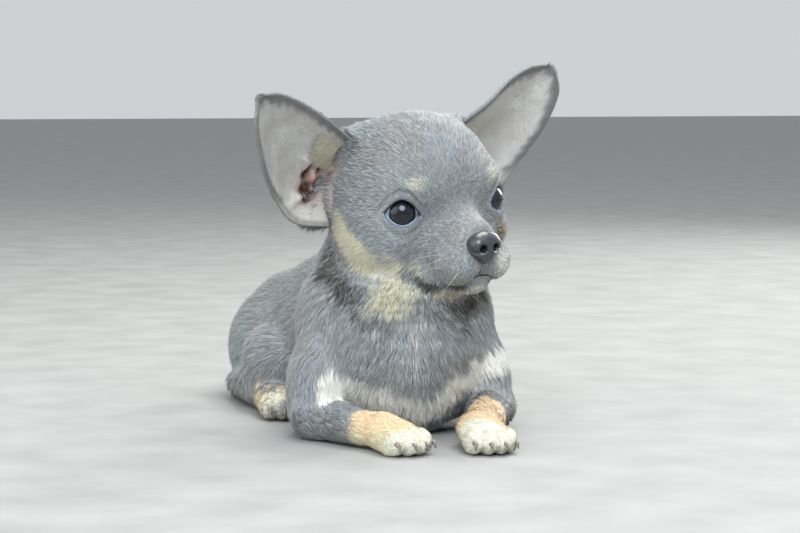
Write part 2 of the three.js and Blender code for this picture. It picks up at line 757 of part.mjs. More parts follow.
function clawSolid(at, heading, size, n) {
  const root = new THREE.Vector3(n * 5.2 * size, -(toeReach(n) + 4.4) * size, -1.4);
  const tip = new THREE.Vector3(n * 5.6 * size, root.y - CLAW_LENGTH * 0.9, -4.2);
  const knuckle = new THREE.Vector3(n * 5.5 * size, root.y - CLAW_LENGTH * 0.7, -1.9);
  const curve = new THREE.QuadraticBezierCurve3(root, knuckle, tip);
  return sweep(curve, 3, (t) => CLAW_R * mix(1, 0.28, t), 6);
}

// A box round one paw whose back face parts the paw from its leg.
function pawBox(at, heading, size, grow) {
  const [wide, front, back] = [13.5 * size, 22 * size, 10 * size];
  const box = new THREE.BoxGeometry(2 * (wide + grow), front + back + 2 * grow, 2 * (9.5 * size + grow));
  box.translate(0, (back - front) / 2, 0);
  return solidOf(box, pawMatrix(at, heading));
}

// The nodes

const floor = solidOf(new THREE.BoxGeometry(400, 500, 200).translate(0, 0, 100));
const coats = {
  blue: { color: 0x77787c, roughness: 0.85 },
  tan: { color: 0xc9a079, roughness: 0.85 },
  ear: { color: 0x9b9793, roughness: 0.8 },
  eye: { color: 0x14161b, roughness: 0.05 },
  nose: { color: 0x3c4148, roughness: 0.35 },
};
const dog = new THREE.Group();
const headGroup = new THREE.Group();
headGroup.applyMatrix4(headMatrix);
dog.add(headGroup);

function node(parent, name, made, coat) {
  const material = new THREE.MeshStandardMaterial({ metalness: 0, ...coats[coat] });
  const mesh = new THREE.Mesh(geometryOf(largest(made)), material);
  mesh.name = name;
  parent.add(mesh);
}

function buildHead() {
  const reach = [[-60, -60, -70], [60, 60, 50]];
  const seam = region("head", ["neck", "torso"], reach, { matrix: headMatrix, claim: 6 });
  let head = headSolid().intersect(seam.inner);
  head = head.subtract(noseSolid(GAP)).subtract(mouthSolid()).subtract(philtrumSolid());
  for (const side of [1, -1]) head = head.subtract(socketSolid(side));
  node(headGroup, "head", head, "blue");
  const nose = noseSolid(0).subtract(nostril(1)).subtract(nostril(-1));
  node(headGroup, "nose", nose, "nose");
  const trimmer = headTrimmer();
  for (const [name, side] of [["left", 1], ["right", -1]]) {
    node(headGroup, "eye_" + name, eyeSolid(side), "eye");
    const turn = new THREE.Euler(...earTurn[name].map(radians), "YZX");
    const carried = new THREE.Matrix4().makeRotationFromEuler(turn).setPosition(...earShift[name]);
    node(headGroup, "ear_" + name, turned(earSolid(side), carried).subtract(trimmer), "ear");
  }
  return turned(seam.outer, headMatrix);
}

// The stretch of skin inside a box, polygonised with cells of one size.
function skinIn(box, cell) {
  const grid = [0, 1, 2].map((axis) =>
    marks(box[0][axis], box[1][axis], Array.isArray(cell) ? cell[axis] : cell));
  return surface(body, ...grid).intersect(floor);
}

function buildBody(headSeam) {
  const taken = [headSeam];
  for (const side of ["left", "right"])
    for (const [limbName, legs, size] of [["fore", forelegs, FORE_PAW], ["hind", hindlegs, HIND_PAW]]) {
      const { paw: at, heading } = legs[side];
      const box = [[at[0] - 22, at[1] - 26, -4], [at[0] + 22, at[1] + 26, 22]];
      const cell = [PAW_CELL * 0.75, PAW_CELL * 1.2, PAW_CELL];
      let paw = skinIn(box, cell).intersect(pawBox(at, heading, size, 0));
      for (const n of TOES) {
        const claw = clawSolid(at, heading, size, n);
        paw = paw.add(turned(claw, pawMatrix(at, heading)).intersect(floor));
      }
      node(dog, limbName + "paw_" + side, paw, "tan");
      taken.push(pawBox(at, heading, size, GAP));
    }
  const parts = [
    ["tail", ["torso"], [[-52, 92, -6], [30, 156, 46]], TAIL_CELL],
    ["neck", ["torso", "foreleg_left", "foreleg_right"], [[-50, -70, 10], [50, 40, 110]], BODY_CELL],
    ["foreleg_left", ["torso", "neck"], [[0, -96, -8], [58, 16, 76]], LIMB_CELL],
    ["foreleg_right", ["torso", "neck"], [[-60, -96, -8], [0, 16, 76]], LIMB_CELL],
    ["hindleg_left", ["torso", "tail"], [[-10, -4, -8], [58, 122, 60]], LIMB_CELL],
    ["hindleg_right", ["torso", "tail"], [[-66, -4, -8], [-24, 122, 60]], LIMB_CELL],
  ];
  const without = (made) => taken.reduce((left, solid) => left.subtract(solid), made);
  for (const [name, others, box, cell] of parts) {
    const seam = region(name, others, box);
    node(dog, name, without(skinIn(box, cell).intersect(seam.inner)), "blue");
    taken.push(seam.outer);
  }
  node(dog, "torso", without(skinIn([[-75, -80, -12], [62, 130, 92]], BODY_CELL)), "blue");
}

buildBody(buildHead());
dog.position.set(-MIDDLE[0], -MIDDLE[1], 0);

export default dog;
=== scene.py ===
"""A smooth-coated chihuahua puppy, blue and tan, lying on its belly: skin, coat, eyes, nose and claws.

The sizes are millimetres in the puppy's own frame, in which it faces -Y and its left is +X. When a mesh
is made they become metres, moved so that the middle of the CAD model's box is the origin.
"""

import logging
import math
from dataclasses import dataclass, field
from enum import Enum
from typing import Callable, Optional, Sequence

import bpy
import numpy as np
from mathutils import Matrix, Vector


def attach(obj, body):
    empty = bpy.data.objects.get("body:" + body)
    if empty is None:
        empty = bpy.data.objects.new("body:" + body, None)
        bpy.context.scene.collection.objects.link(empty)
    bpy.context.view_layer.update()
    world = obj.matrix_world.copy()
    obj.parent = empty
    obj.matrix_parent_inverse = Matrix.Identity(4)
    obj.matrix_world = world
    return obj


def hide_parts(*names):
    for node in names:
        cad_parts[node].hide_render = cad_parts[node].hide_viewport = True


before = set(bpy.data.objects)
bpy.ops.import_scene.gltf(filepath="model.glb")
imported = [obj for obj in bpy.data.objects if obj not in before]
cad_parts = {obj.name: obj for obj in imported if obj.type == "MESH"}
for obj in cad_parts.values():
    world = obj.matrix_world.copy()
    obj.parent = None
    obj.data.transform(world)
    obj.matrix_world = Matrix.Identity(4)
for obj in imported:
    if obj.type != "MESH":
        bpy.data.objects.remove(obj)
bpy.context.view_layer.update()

logging.basicConfig(level=logging.INFO, format="%(message)s")
log = logging.getLogger("puppy")

Array = np.ndarray
Field = Callable[[Array], Array]
Piece = bpy.types.Object
Socket = bpy.types.NodeSocket
Material = bpy.types.Material
MM = 0.001
MIDDLE = (3.4, 21.3)
SIDES = {"left": 1.0, "right": -1.0}


# The puppy's forms as distances in millimetres


def egg(at: Sequence[float], half: Sequence[float], turn: Sequence[float] = (0, 0, 0)) -> Field:
    """An egg-shaped form.

    Args:
        at: its middle.
        half: its half sizes along its own axes.
        turn: degrees about x, y and z.

    Returns:
        The distance to its surface, negative inside.
    """
    about_x, about_y, about_z = (Matrix.Rotation(math.radians(v), 3, n) for v, n in zip(turn, "XYZ"))
    turned = np.array(about_z @ about_y @ about_x)
    middle, sizes = np.array(at, float), np.array(half, float)

    def distance(p: Array) -> Array:
        """How far points are from it, in millimetres."""
        q = (p - middle) @ turned / sizes
        near = np.sqrt((q * q).sum(1)) + 1e-9
        slope = np.sqrt(((q / sizes) ** 2).sum(1)) + 1e-9
        return near * (near - 1) / slope

    return distance


def limb(a: Sequence[float], b: Sequence[float], ra: float, rb: float) -> Field:
    """A limb from one point to another.

    Args:
        a: where it starts.
        b: where it ends.
        ra: its radius at the start.
        rb: its radius at the end.

    Returns:
        The distance to its surface.
    """
    start, along = np.array(a, float), np.array(b, float) - np.array(a, float)

    def distance(p: Array) -> Array:
        """How far points are from it, in millimetres."""
        q = p - start
        t = np.clip(q @ along / (along @ along), 0, 1)
        return np.sqrt(((q - t[:, None] * along) ** 2).sum(1)) - (ra + (rb - ra) * t)

    return distance


def soft(a: Array, b: Array, k: float) -> Array:
    """The nearer of two distances, rounded over k millimetres where they meet."""
    h = np.maximum(k - np.abs(a - b), 0) / k
    return np.minimum(a, b) - h * h * k / 4


def cut(a: Array, b: Array, k: float) -> Array:
    """What is left of the first form once the second is cut out of it, with a rounded edge."""
    return -soft(-a, b, k)


def flow(k: float, *forms: Field) -> Field:
    """Several forms flowed together.

    Args:
        k: how many millimetres the joins are rounded over.
        forms: the forms.

    Returns:
        The distance to the whole.
    """

    def distance(p: Array) -> Array:
        """How far points are from it, in millimetres."""
        d = forms[0](p)
        for form in forms[1:]:
            d = soft(d, form(p), k)
        return d

    return distance


def folded(p: Array) -> Array:
    """Points with the right side brought over onto the left."""
    return np.abs(p) * (1, 0, 0) + p * (0, 1, 1)


def both(form: Field) -> Field:
    """A form and its mirror image."""
    return lambda p: form(folded(p))


def through(matrix: Matrix, p: Array) -> Array:
    """Points taken from one frame to another."""
    return p @ np.array(matrix.to_3x3()).T + np.array(matrix.translation)


def moved(form: Field, matrix: Matrix) -> Field:
    """A form asked about through a matrix."""
    return lambda p: form(through(matrix, p))


def smooth_step(low: float, high: float, value: Array) -> Array:
    """0 below low, 1 above high, and smooth between them."""
    t = np.clip((value - low) / (high - low), 0, 1)
    return t * t * (3 - 2 * t)


def polyline_distance(points: Array) -> Field:
    """The distance to a line.

    Args:
        points: the points that it runs through.

    Returns:
        The distance as a form of no thickness.
    """
    parts = [limb(a, b, 0.0, 0.0) for a, b in zip(points[:-1], points[1:])]

    def distance(p: Array) -> Array:
        """How far points are from it, in millimetres."""
        d = parts[0](p)
        for part in parts[1:]:
            d = np.minimum(d, part(p))
        return d

    return distance


def smooth_line(points: Sequence[Sequence[float]], count: int) -> Array:
    """Points on a centripetal Catmull-Rom curve.

    Args:
        points: the points that the curve runs through.
        count: how many points are wanted.

    Returns:
        The points, one row each.
    """
    p = np.array(points, float)
    last = len(p) - 1
    out = []
    for t in np.linspace(0, last, count):
        i = min(int(t), last - 1)
        w = t - i
        p1, p2 = p[i], p[i + 1]
        p0 = p[i - 1] if i > 0 else 2 * p1 - p2
        p3 = p[i + 2] if i + 2 <= last else 2 * p2 - p1
        pairs = ((p0, p1), (p1, p2), (p2, p3))
        d0, d1, d2 = (max(float(np.linalg.norm(b - a)), 1e-4) ** 0.5 for a, b in pairs)
        t1 = ((p1 - p0) / d0 - (p2 - p0) / (d0 + d1) + (p2 - p1) / d1) * d1
        t2 = ((p2 - p1) / d1 - (p3 - p1) / (d1 + d2) + (p3 - p2) / d2) * d1
        out.append(p1 + t1 * w + (3 * (p2 - p1) - 2 * t1 - t2) * w**2 + (2 * (p1 - p2) + t1 + t2) * w**3)
    return np.array(out)


@dataclass(frozen=True)
class Head:
    """The head's sizes in its own frame, whose origin is the middle of the skull."""

    at: tuple[float, float, float] = (4.0, -25.0, 88.0)
    yaw: float = 18.0
    roll: float = 6.0
    eye_radius: float = 7.4
    eye_at: tuple[float, float, float] = (17.2, -19.6, -5.0)
    eye_gaze: float = 31.0
    opening: tuple[float, float, float] = (13.4, 5.3, 4.5)
    muzzle: float = 45.2
    nose_half: tuple[float, float, float] = (6.5, 4.5, 5.5)
    nose_at: tuple[float, float, float] = (0.0, -44.6, -18.0)
    mouth: tuple[tuple[float, float, float], ...] = (
        *((0, -42, -29), (4.6, -41, -31), (8, -36, -33)),
        *((10.5, -27.5, -32.8), (13.5, -23.6, -30.6), (17.2, -20, -26.4)),
    )

    def matrix(self) -> Matrix:
        """From the head's frame to the puppy's."""
        yaw = Matrix.Rotation(math.radians(self.yaw), 4, "Z")
        return Matrix.Translation(self.at) @ (yaw @ Matrix.Rotation(math.radians(-self.roll), 4, "Y"))

    def eye_matrix(self, side: float) -> Matrix:
        """From one eye's frame, which looks along -Y, to the head's.

        Args:
            side: 1 for the left eye, -1 for the right one.

        Returns:
            The matrix.
        """
        turn = Matrix.Rotation(math.radians(side * self.eye_gaze), 4, "Z")
        tilt = Matrix.Rotation(math.radians(side * -7), 4, "Y")
        x, y, z = self.eye_at
        return Matrix.Translation((side * x, y, z)) @ turn @ tilt

    def skull(self) -> Field:
        """Skull, cheeks, jaw hinge and brows."""
        return flow(
            7,
            egg((-2, 0, 0.3), (30.8, 31, 28.2)),
            egg((-1.5, -9, 5.8), (24.5, 22.5, 21.7)),
            both(egg((17.5, 2.7, 16.8), (8.8, 8.8, 8.8))),
            both(egg((17, -7, -15), (13, 19, 13))),
            egg((0, -6, -21), (19, 22, 13)),
            both(egg((12.5, -22.5, 3.5), (9, 7, 6.5))),
        )

    def muzzle_form(self) -> Field:
        """Bridge of the nose and upper lips."""
        lip = 9.5 - self.muzzle
        return flow(
            4,
            limb((0, -22, -16), (0, lip, -18.5), 13, 9.2),
            limb((0, -22, -9), (0, lip - 4, -14), 7, 5.2),
            both(egg((6.6, lip, -24), (7.2, 9.6, 7.8), (0, 0, 8))),
        )

    def jaw(self) -> Field:
        """Lower jaw and chin."""
        lip = 9.5 - self.muzzle
        return flow(
            5,
            limb((0, -12, -26), (0, lip + 1, -29.6), 10.5, 6),
            both(limb((10, -12, -24), (5, lip + 4, -29), 8.5, 4.6)),
        )

    def lids(self) -> Field:
        """The swell of the closed-over eyeballs."""
        r = self.eye_radius + 1.5
        return both(egg(self.eye_at, (r, r, r - 0.2)))

    def form(self) -> Field:
        """The whole head with no openings."""
        skull, muzzle, jaw, lids = self.skull(), self.muzzle_form(), self.jaw(), self.lids()

        def distance(p: Array) -> Array:
            """How far points are from it, in millimetres."""
            face = soft(soft(skull(p), muzzle(p), 6), jaw(p), 1.6)
            return soft(face, lids(p), 2.6)

        return distance

    def almond(self, p: Array, grow: float = 0.0) -> Array:
        """How far points are outside the opening between the lids.

        Args:
            p: points in an eye's frame.
            grow: how much wider than the real opening it is taken.

        Returns:
            The distances, negative in the opening.
        """
        half, up, down = self.opening[0] / 2 + grow, self.opening[1] + grow, self.opening[2] + grow
        edge = np.clip(1 - (p[:, 0] / half) ** 2, -1, 1)
        high = np.where(p[:, 2] > 0, up, down) * edge
        out = (np.abs(p[:, 2]) - high) * 0.75
        return np.maximum(out, p[:, 1])


@dataclass(frozen=True)
class Foreleg:
    """One foreleg: elbow on the floor, forearm forward."""

    side: float
    elbow: tuple[float, float, float]
    shoulder: tuple[float, float, float]
    wrist: tuple[float, float, float]
    paw: tuple[float, float, float]
    heading: float
    size: float = 0.94

    def upper(self) -> Field:
        """Shoulder and upper arm."""
        x, y, _ = self.elbow
        shoulder = egg(self.shoulder, (14, 23, 28), (0, self.side * 8, 0))
        return flow(8, shoulder, egg((x, y + 8, 17), (10.5, 17, 18)))

    def lower(self) -> Field:
        """Elbow and forearm."""
        x, y, _ = self.elbow
        return flow(5, limb(self.elbow, self.wrist, 9, 6.8), limb(self.elbow, (x, y + 12, 9), 9, 8.5))


@dataclass(frozen=True)
class Hindleg:
    """One hind leg, folded beside the belly."""

    side: float
    thigh: tuple[float, float, float]
    knee: tuple[float, float, float]
    hock: tuple[float, float, float]
    paw: tuple[float, float, float]
    heading: float
    size: float = 0.88

    def upper(self) -> Field:
        """Thigh and knee."""
        thigh = egg(self.thigh, (15, 31, 20.5), (0, 0, -self.side * 3 - 6))
        return flow(8, thigh, egg(self.knee, (11.5, 17.5, 16.5)))

    def lower(self) -> Field:
        """Shank and rear pastern."""
        x, y, _ = self.knee
        shank = limb((x + self.side * 2, y + 4, 12), self.hock, 10, 6.6)
        return flow(5, shank, limb(self.hock, self.paw, 6.2, 6.2))


TOES = (-1.5, -0.5, 0.5, 1.5)


def toe_reach(n: float) -> float:
    """How far forward one of the toes lies; the middle two lie further."""
    return 9.6 if abs(n) < 1 else 6.8


def paw_matrix(at: Sequence[float], heading: float) -> Matrix:
    """From a paw's frame to the puppy's."""
    return Matrix.Translation(at) @ Matrix.Rotation(math.radians(heading), 4, "Z")


def paw_form(at: Sequence[float], heading: float, size: float) -> Field:
    """A paw with four toes that fan out.

    Args:
        at: its middle.
        heading: degrees that it is turned about the vertical.
        size: its size against that of a grown paw of this breed.

    Returns:
        The distance to its surface.
    """
    sole = egg((0, 0, -0.5), (9.4 * size, 10 * size, 6.8 * size))
    pad = flow(3, sole, egg((0, 8 * size, 1), (8 * size, 9 * size, 7 * size)))
    toes = [
        egg((n * 4.7 * size, -toe_reach(n) * size, -1.6), (3.1 * size, 6.4 * size, 5 * size), (0, 0, -n * 5))
        for n in TOES
    ]

    def distance(p: Array) -> Array:
        """How far points are from it, in millimetres."""
        d = pad(p)
        for toe in toes:
            d = soft(d, toe(p), 1.5)
        return d

    return moved(distance, paw_matrix(at, heading).inverted())


@dataclass
class Figure:
    """The whole puppy as forms, with the parts kept apart so that the coat knows where it grows."""

    head: Head = field(default_factory=Head)
    withers: float = 67.0
    croup: float = 52.0
    chest_half: float = 31.0
    forelegs: dict[str, Foreleg] = field(
        default_factory=lambda: {
            "left": Foreleg(1, (30, -37, 9.5), (21, -22, 32), (19, -70, 7.8), (15, -84, 6), 4),
            "right": Foreleg(-1, (-35, -42, 8.5), (-25, -23, 32), (-24.5, -66, 7), (-16, -80, 6), 24),
        }
    )
    hindlegs: dict[str, Hindleg] = field(
        default_factory=lambda: {
            "left": Hindleg(1, (5, 76, 20.5), (22, 44, 17.5), (25, 72, 7), (33, 17, 6), -6),
            "right": Hindleg(-1, (-32.5, 73, 20.5), (-37, 38, 17.5), (-41, 72, 7), (-38, 15, 6), 6),
        }
    )
    tail_line: tuple[tuple[float, float, float], ...] = (
        *((-24, 104, 27.5), (-27, 119, 13), (-20, 132, 5), (-3, 139, 3.4), (14, 136, 2.6)),
    )

    def __post_init__(self) -> None:
        """Builds each part's form once."""
        self.to_head = self.head.matrix().inverted()
        nape, throat = limb((0, -8, 46.5), (3, -19, 77), 31, 26), limb((0, -28, 42), (3, -34, 61), 23, 16)
        self.neck = flow(10, nape, throat)
        self.torso = flow(
            12,
            egg((-1, 0, self.withers / 2 - 1.5), (self.chest_half, 44, self.withers / 2 + 1.5)),
            egg((0, -33, 28.2), (27, 22, 29.3)),
            egg((-8, 42, 29), (28, 44, 33)),
            egg((-17, 80, self.croup / 2 - 1.5), (24, 34, self.croup / 2 + 1.5), (0, 0, -12)),
        )
        self.tail_points = smooth_line(self.tail_line, 13)
        radii = [8.5 + (2.6 - 8.5) * math.sqrt(i / 12) for i in range(13)]
        line = self.tail_points
        self.tail = flow(2, *(limb(*pair) for pair in zip(line, line[1:], radii, radii[1:])))
        self.fore, self.hind = (
            {
                s: (leg.upper(), leg.lower(), paw_form(leg.paw, leg.heading, leg.size))
                for s, leg in legs.items()
            }
            for legs in (self.forelegs, self.hindlegs)
        )
        self.head_local = self.head.form()
        self.head_here = moved(self.head_local, self.to_head)

    def in_head(self, p: Array) -> Array:
        """Points of the puppy's frame in the head's."""
        return through(self.to_head, p)


@dataclass(frozen=True)
class EarShape:
    """An ear as a leaf between two margins and a hollow middle line, on the puppy's left."""

    inner: tuple = (
        *((18, 1.5, 18.4), (33.6, -5.8, 28.8), (44.6, -5.7, 36.9)),
        *((53.6, -6.4, 40.9), (60.2, -6.9, 41.2)),
    )
    outer: tuple = (
        *((26, 13, -8), (41.5, 11.5, -4.6), (50, 8, 4), (56.3, 3.4, 12)),
        *((61.2, -2, 21), (64.5, -6.4, 32), (63, -7, 38.6)),
    )
    middle: tuple = ((22, 15, 5), (37, 13, 13), (50, 6, 23), (62.4, -6.4, 40.6))
    turn: dict = field(default_factory=lambda: {"left": (-3.8, 2.1, -1), "right": (-3.7, 0, 5.2)})
    shift: dict = field(default_factory=lambda: {"left": (-0.8, -0.2, -0.2), "right": (-2.9, 0.3, -0.2)})
    skin: float = 1.5
    rim: float = 0.7

    def grid(self, side: str, along: int, across: int) -> Array:
        """Points of the cup in the head's frame.

        Args:
            side: which ear.
            along: how many rows it has from root to tip.
            across: how many columns it has from the inner margin out.

        Returns:
            The points by row and column.
        """
        inner, outer, middle = (smooth_line(line, along) for line in (self.inner, self.outer, self.middle))
        bend = 2 * middle - (inner + outer) / 2
        t = np.linspace(0, 1, across)[None, :, None]
        leaf = inner[:, None] * (1 - t) ** 2 + bend[:, None] * 2 * t * (1 - t) + outer[:, None] * t * t
        roll, lean, yaw = (Matrix.Rotation(math.radians(v), 3, n) for v, n in zip(self.turn[side], "XYZ"))
        leaf = leaf * (SIDES[side], 1, 1) @ np.array(lean @ yaw @ roll).T
        return leaf + np.array(self.shift[side])


# Surfaces made from the forms


def graded(*spans: tuple[float, float, float]) -> Array:
    """Places along an axis, from each span's start with its own step, up to the last span's end."""
    marks = [np.linspace(a, b, max(round((b - a) / step), 1), endpoint=False) for a, b, step in spans]
    return np.append(np.concatenate(marks), spans[-1][1])


def in_pieces(form: Field, p: Array, size: int = 150000) -> Array:
    """A form's distances, asked for in pieces that fit the memory."""
    return np.concatenate([form(p[i : i + size]) for i in range(0, len(p), size)])


def combed_through(lie: Array, normals: Array, faces: Array, rounds: int) -> Array:
    """Evens out a lie over a net, so that it turns smoothly where it would stand on end.

    Args:
        lie: The lie at each point, along the surface; short where it is unsure.
        normals: The outward direction at each point.
        faces: The net's faces, four corners each.
        rounds: How often each point takes half its lie from its neighbours.

    Returns:
        The lie at each point, still along the surface.
    """
    here, there = faces.ravel(), np.roll(faces, -1, axis=1).ravel()
    here, there = np.concatenate([here, there]), np.concatenate([there, here])
    count = np.maximum(np.bincount(here, minlength=len(lie)), 1)[:, None]
    for _ in range(rounds):
        around = np.stack([np.bincount(here, lie[there, n], len(lie)) for n in range(3)], 1)
        lie = 0.5 * lie + 0.5 * around / count
        lie -= normals * (lie * normals).sum(1, keepdims=True)
    return lie


def slopes(form: Field, p: Array, reach: float = 0.06) -> Array:
    """The direction in which a form's distance grows, at each point.

    Args:
        form: the form.
        p: the points.
        reach: how far to each side it is measured, in millimetres.

    Returns:
        Unit directions, one row for each point.
    """
    out = np.empty_like(p)
    for axis in range(3):
        shift = np.zeros(3)
        shift[axis] = reach
        out[:, axis] = in_pieces(form, p + shift) - in_pieces(form, p - shift)
    return out / (np.sqrt((out * out).sum(1))[:, None] + 1e-12)


def surface_net(form: Field, axes: Sequence[Array], block: int = 4) -> tuple[Array, Array]:
    """A closed net of four-cornered faces on a form's surface.

    Args:
        form: the distance to the surface.
        axes: the places of the grid along x, y and z.
        block: how many cells make the side of a block that is passed over when it is far from the surface.

    Returns:
        The net's points and faces.
    """
    shape = tuple(len(axis) for axis in axes)
    rough = [np.append(np.arange(0, n - 1, block), n - 1) for n in shape]
    spots = np.stack(np.meshgrid(*(axis[r] for axis, r in zip(axes, rough)), indexing="ij"), -1)
    far = in_pieces(form, spots.reshape(-1, 3)).reshape(spots.shape[:3])
    near = np.full(tuple(n - 1 for n in far.shape), np.inf)
    for i in (0, 1):
        for j in (0, 1):
            for k in (0, 1):
                part = far[i : i + near.shape[0], j : j + near.shape[1], k : k + near.shape[2]]
                near = np.minimum(near, np.abs(part))
    span = [np.diff(axis[r]) for axis, r in zip(axes, rough)]
    reach = np.sqrt(span[0][:, None, None] ** 2 + span[1][None, :, None] ** 2 + span[2][None, None, :] ** 2)
    wanted = near < reach * 0.85
    low = [np.minimum(np.arange(n) // block, w - 1) for n, w in zip(shape, wanted.shape)]
    high = [np.minimum(np.maximum(np.arange(n) - 1, 0) // block, w - 1) for n, w in zip(shape, wanted.shape)]
    fine = np.zeros(shape, bool)
    for a in (low[0], high[0]):
        for b in (low[1], high[1]):
            for c in (low[2], high[2]):
                fine |= wanted[np.ix_(a, b, c)]
    d = far[np.ix_(*low)].astype(np.float32)
    at = np.nonzero(fine)
    points = np.stack([axis[i] for axis, i in zip(axes, at)], 1)
    d[at] = in_pieces(form, points)

    inside = d < 0
    corners = [(i, j, k) for i in (0, 1) for j in (0, 1) for k in (0, 1)]
    count = sum(inside[i : shape[0] - 1 + i, j : shape[1] - 1 + j, k : shape[2] - 1 + k].astype(np.int8)
                for i, j, k in corners)
    cells = np.array(np.nonzero((count > 0) & (count < 8))).T
    number = np.full(count.shape, -1, np.int32)
    number[tuple(cells.T)] = np.arange(len(cells))
    total, crossings = np.zeros((len(cells), 3)), np.zeros(len(cells))
    for a in corners:
        for axis in range(3):
            if a[axis]:
                continue
            b = tuple(1 if n == axis else a[n] for n in range(3))
            ia, ib = cells + a, cells + b
            da, db = d[tuple(ia.T)], d[tuple(ib.T)]
            crossed = (da < 0) != (db < 0)
            t = np.where(crossed, da / np.where(crossed, da - db, 1), 0)
            pa = np.stack([axes[n][ia[:, n]] for n in range(3)], 1)
            pb = np.stack([axes[n][ib[:, n]] for n in range(3)], 1)
            total += np.where(crossed[:, None], pa + (pb - pa) * t[:, None], 0)
            crossings += crossed
    points = total / crossings[:, None]
    faces = []
    for axis in range(3):
        one, two = (axis + 1) % 3, (axis + 2) % 3
        start = [slice(1, n - 1) for n in shape]
        start[axis] = slice(0, shape[axis] - 1)
        after = list(start)
        after[axis] = slice(1, shape[axis])
        here, there = inside[tuple(start)], inside[tuple(after)]
        at = np.array(np.nonzero(here != there)).T + [0 if n == axis else 1 for n in range(3)]
        outward = here[here != there]
        ring = []
        for step_one, step_two in ((1, 1), (0, 1), (0, 0), (1, 0)):
            cell = at.copy()
            cell[:, one] -= step_one
            cell[:, two] -= step_two
            ring.append(number[tuple(cell.T)])
        quad = np.stack(ring, 1)
        faces.append(np.where(outward[:, None], quad, quad[:, ::-1]))
    return points, np.concatenate(faces)


def settled(form: Field, p: Array, rounds: int, reach: float) -> Array:
    """Points moved onto a form's surface, by no more than reach a round."""
    for _ in range(rounds):
        d = in_pieces(form, p)
        p = p - slopes(form, p) * np.clip(d, -reach, reach)[:, None]
    return p


def ripple(p: Array, size: float, seed: int) -> Array:
    """A smooth wavering between about -1 and 1, with waves about the given size in millimetres.

    Args:
        p: the points.
        size: the waves' size in millimetres.
        seed: which wavering it is.

    Returns:
        A number for each point.
    """
    dice = np.random.default_rng(seed)
    out = np.zeros(len(p))
    for _ in range(7):
        wave = dice.normal(size=3)
        wave *= 2 * math.pi / (size * dice.uniform(0.7, 1.5)) / np.linalg.norm(wave)
        out += np.sin(p @ wave + dice.uniform(0, 6.3))
    return out / 2.6


def unit(v: Array) -> Array:
    """Vectors of length one."""
    return v / (np.sqrt((v * v).sum(-1, keepdims=True)) + 1e-12)


def blob(p: Array, at: Sequence[float], half: Sequence[float], edge: float = 0.35) -> Array:
    """1 within an egg-shaped place, 0 outside it, and smooth at its edge."""
    near = np.sqrt((((p - at) / half) ** 2).sum(1))
    return 1 - smooth_step(1 - edge, 1 + edge, near)


class Area(Enum):
    """The places where the coat is combed and cut alike."""

    HEAD = 0
    NECK = 1
    TORSO = 2
    FORE_UPPER_LEFT = 3
    FORE_LOWER_LEFT = 4
    FOREPAW_LEFT = 5
    FORE_UPPER_RIGHT = 6
    FORE_LOWER_RIGHT = 7
    FOREPAW_RIGHT = 8
    HIND_UPPER_LEFT = 9
    HIND_LOWER_LEFT = 10
    HINDPAW_LEFT = 11
    HIND_UPPER_RIGHT = 12
    HIND_LOWER_RIGHT = 13
    HINDPAW_RIGHT = 14
    TAIL = 15
    EAR_LEFT = 16
    EAR_RIGHT = 17


@dataclass
class Surface:
    """A net with what the coat needs to know at each of its points."""

    points: Array
    faces: Array
    normals: Array
    area: Array
    lie: Array
    marks: Array
    tone: Array
    length: Array
    thick: Array

    def joined(self, other: "Surface") -> "Surface":
        """This net and another in one."""
        pairs = {name: (getattr(self, name), getattr(other, name)) for name in self.__dataclass_fields__}
        made = {name: np.concatenate(pair) for name, pair in pairs.items() if name != "faces"}
        return Surface(faces=np.concatenate([self.faces, other.faces + len(self.points)]), **made)


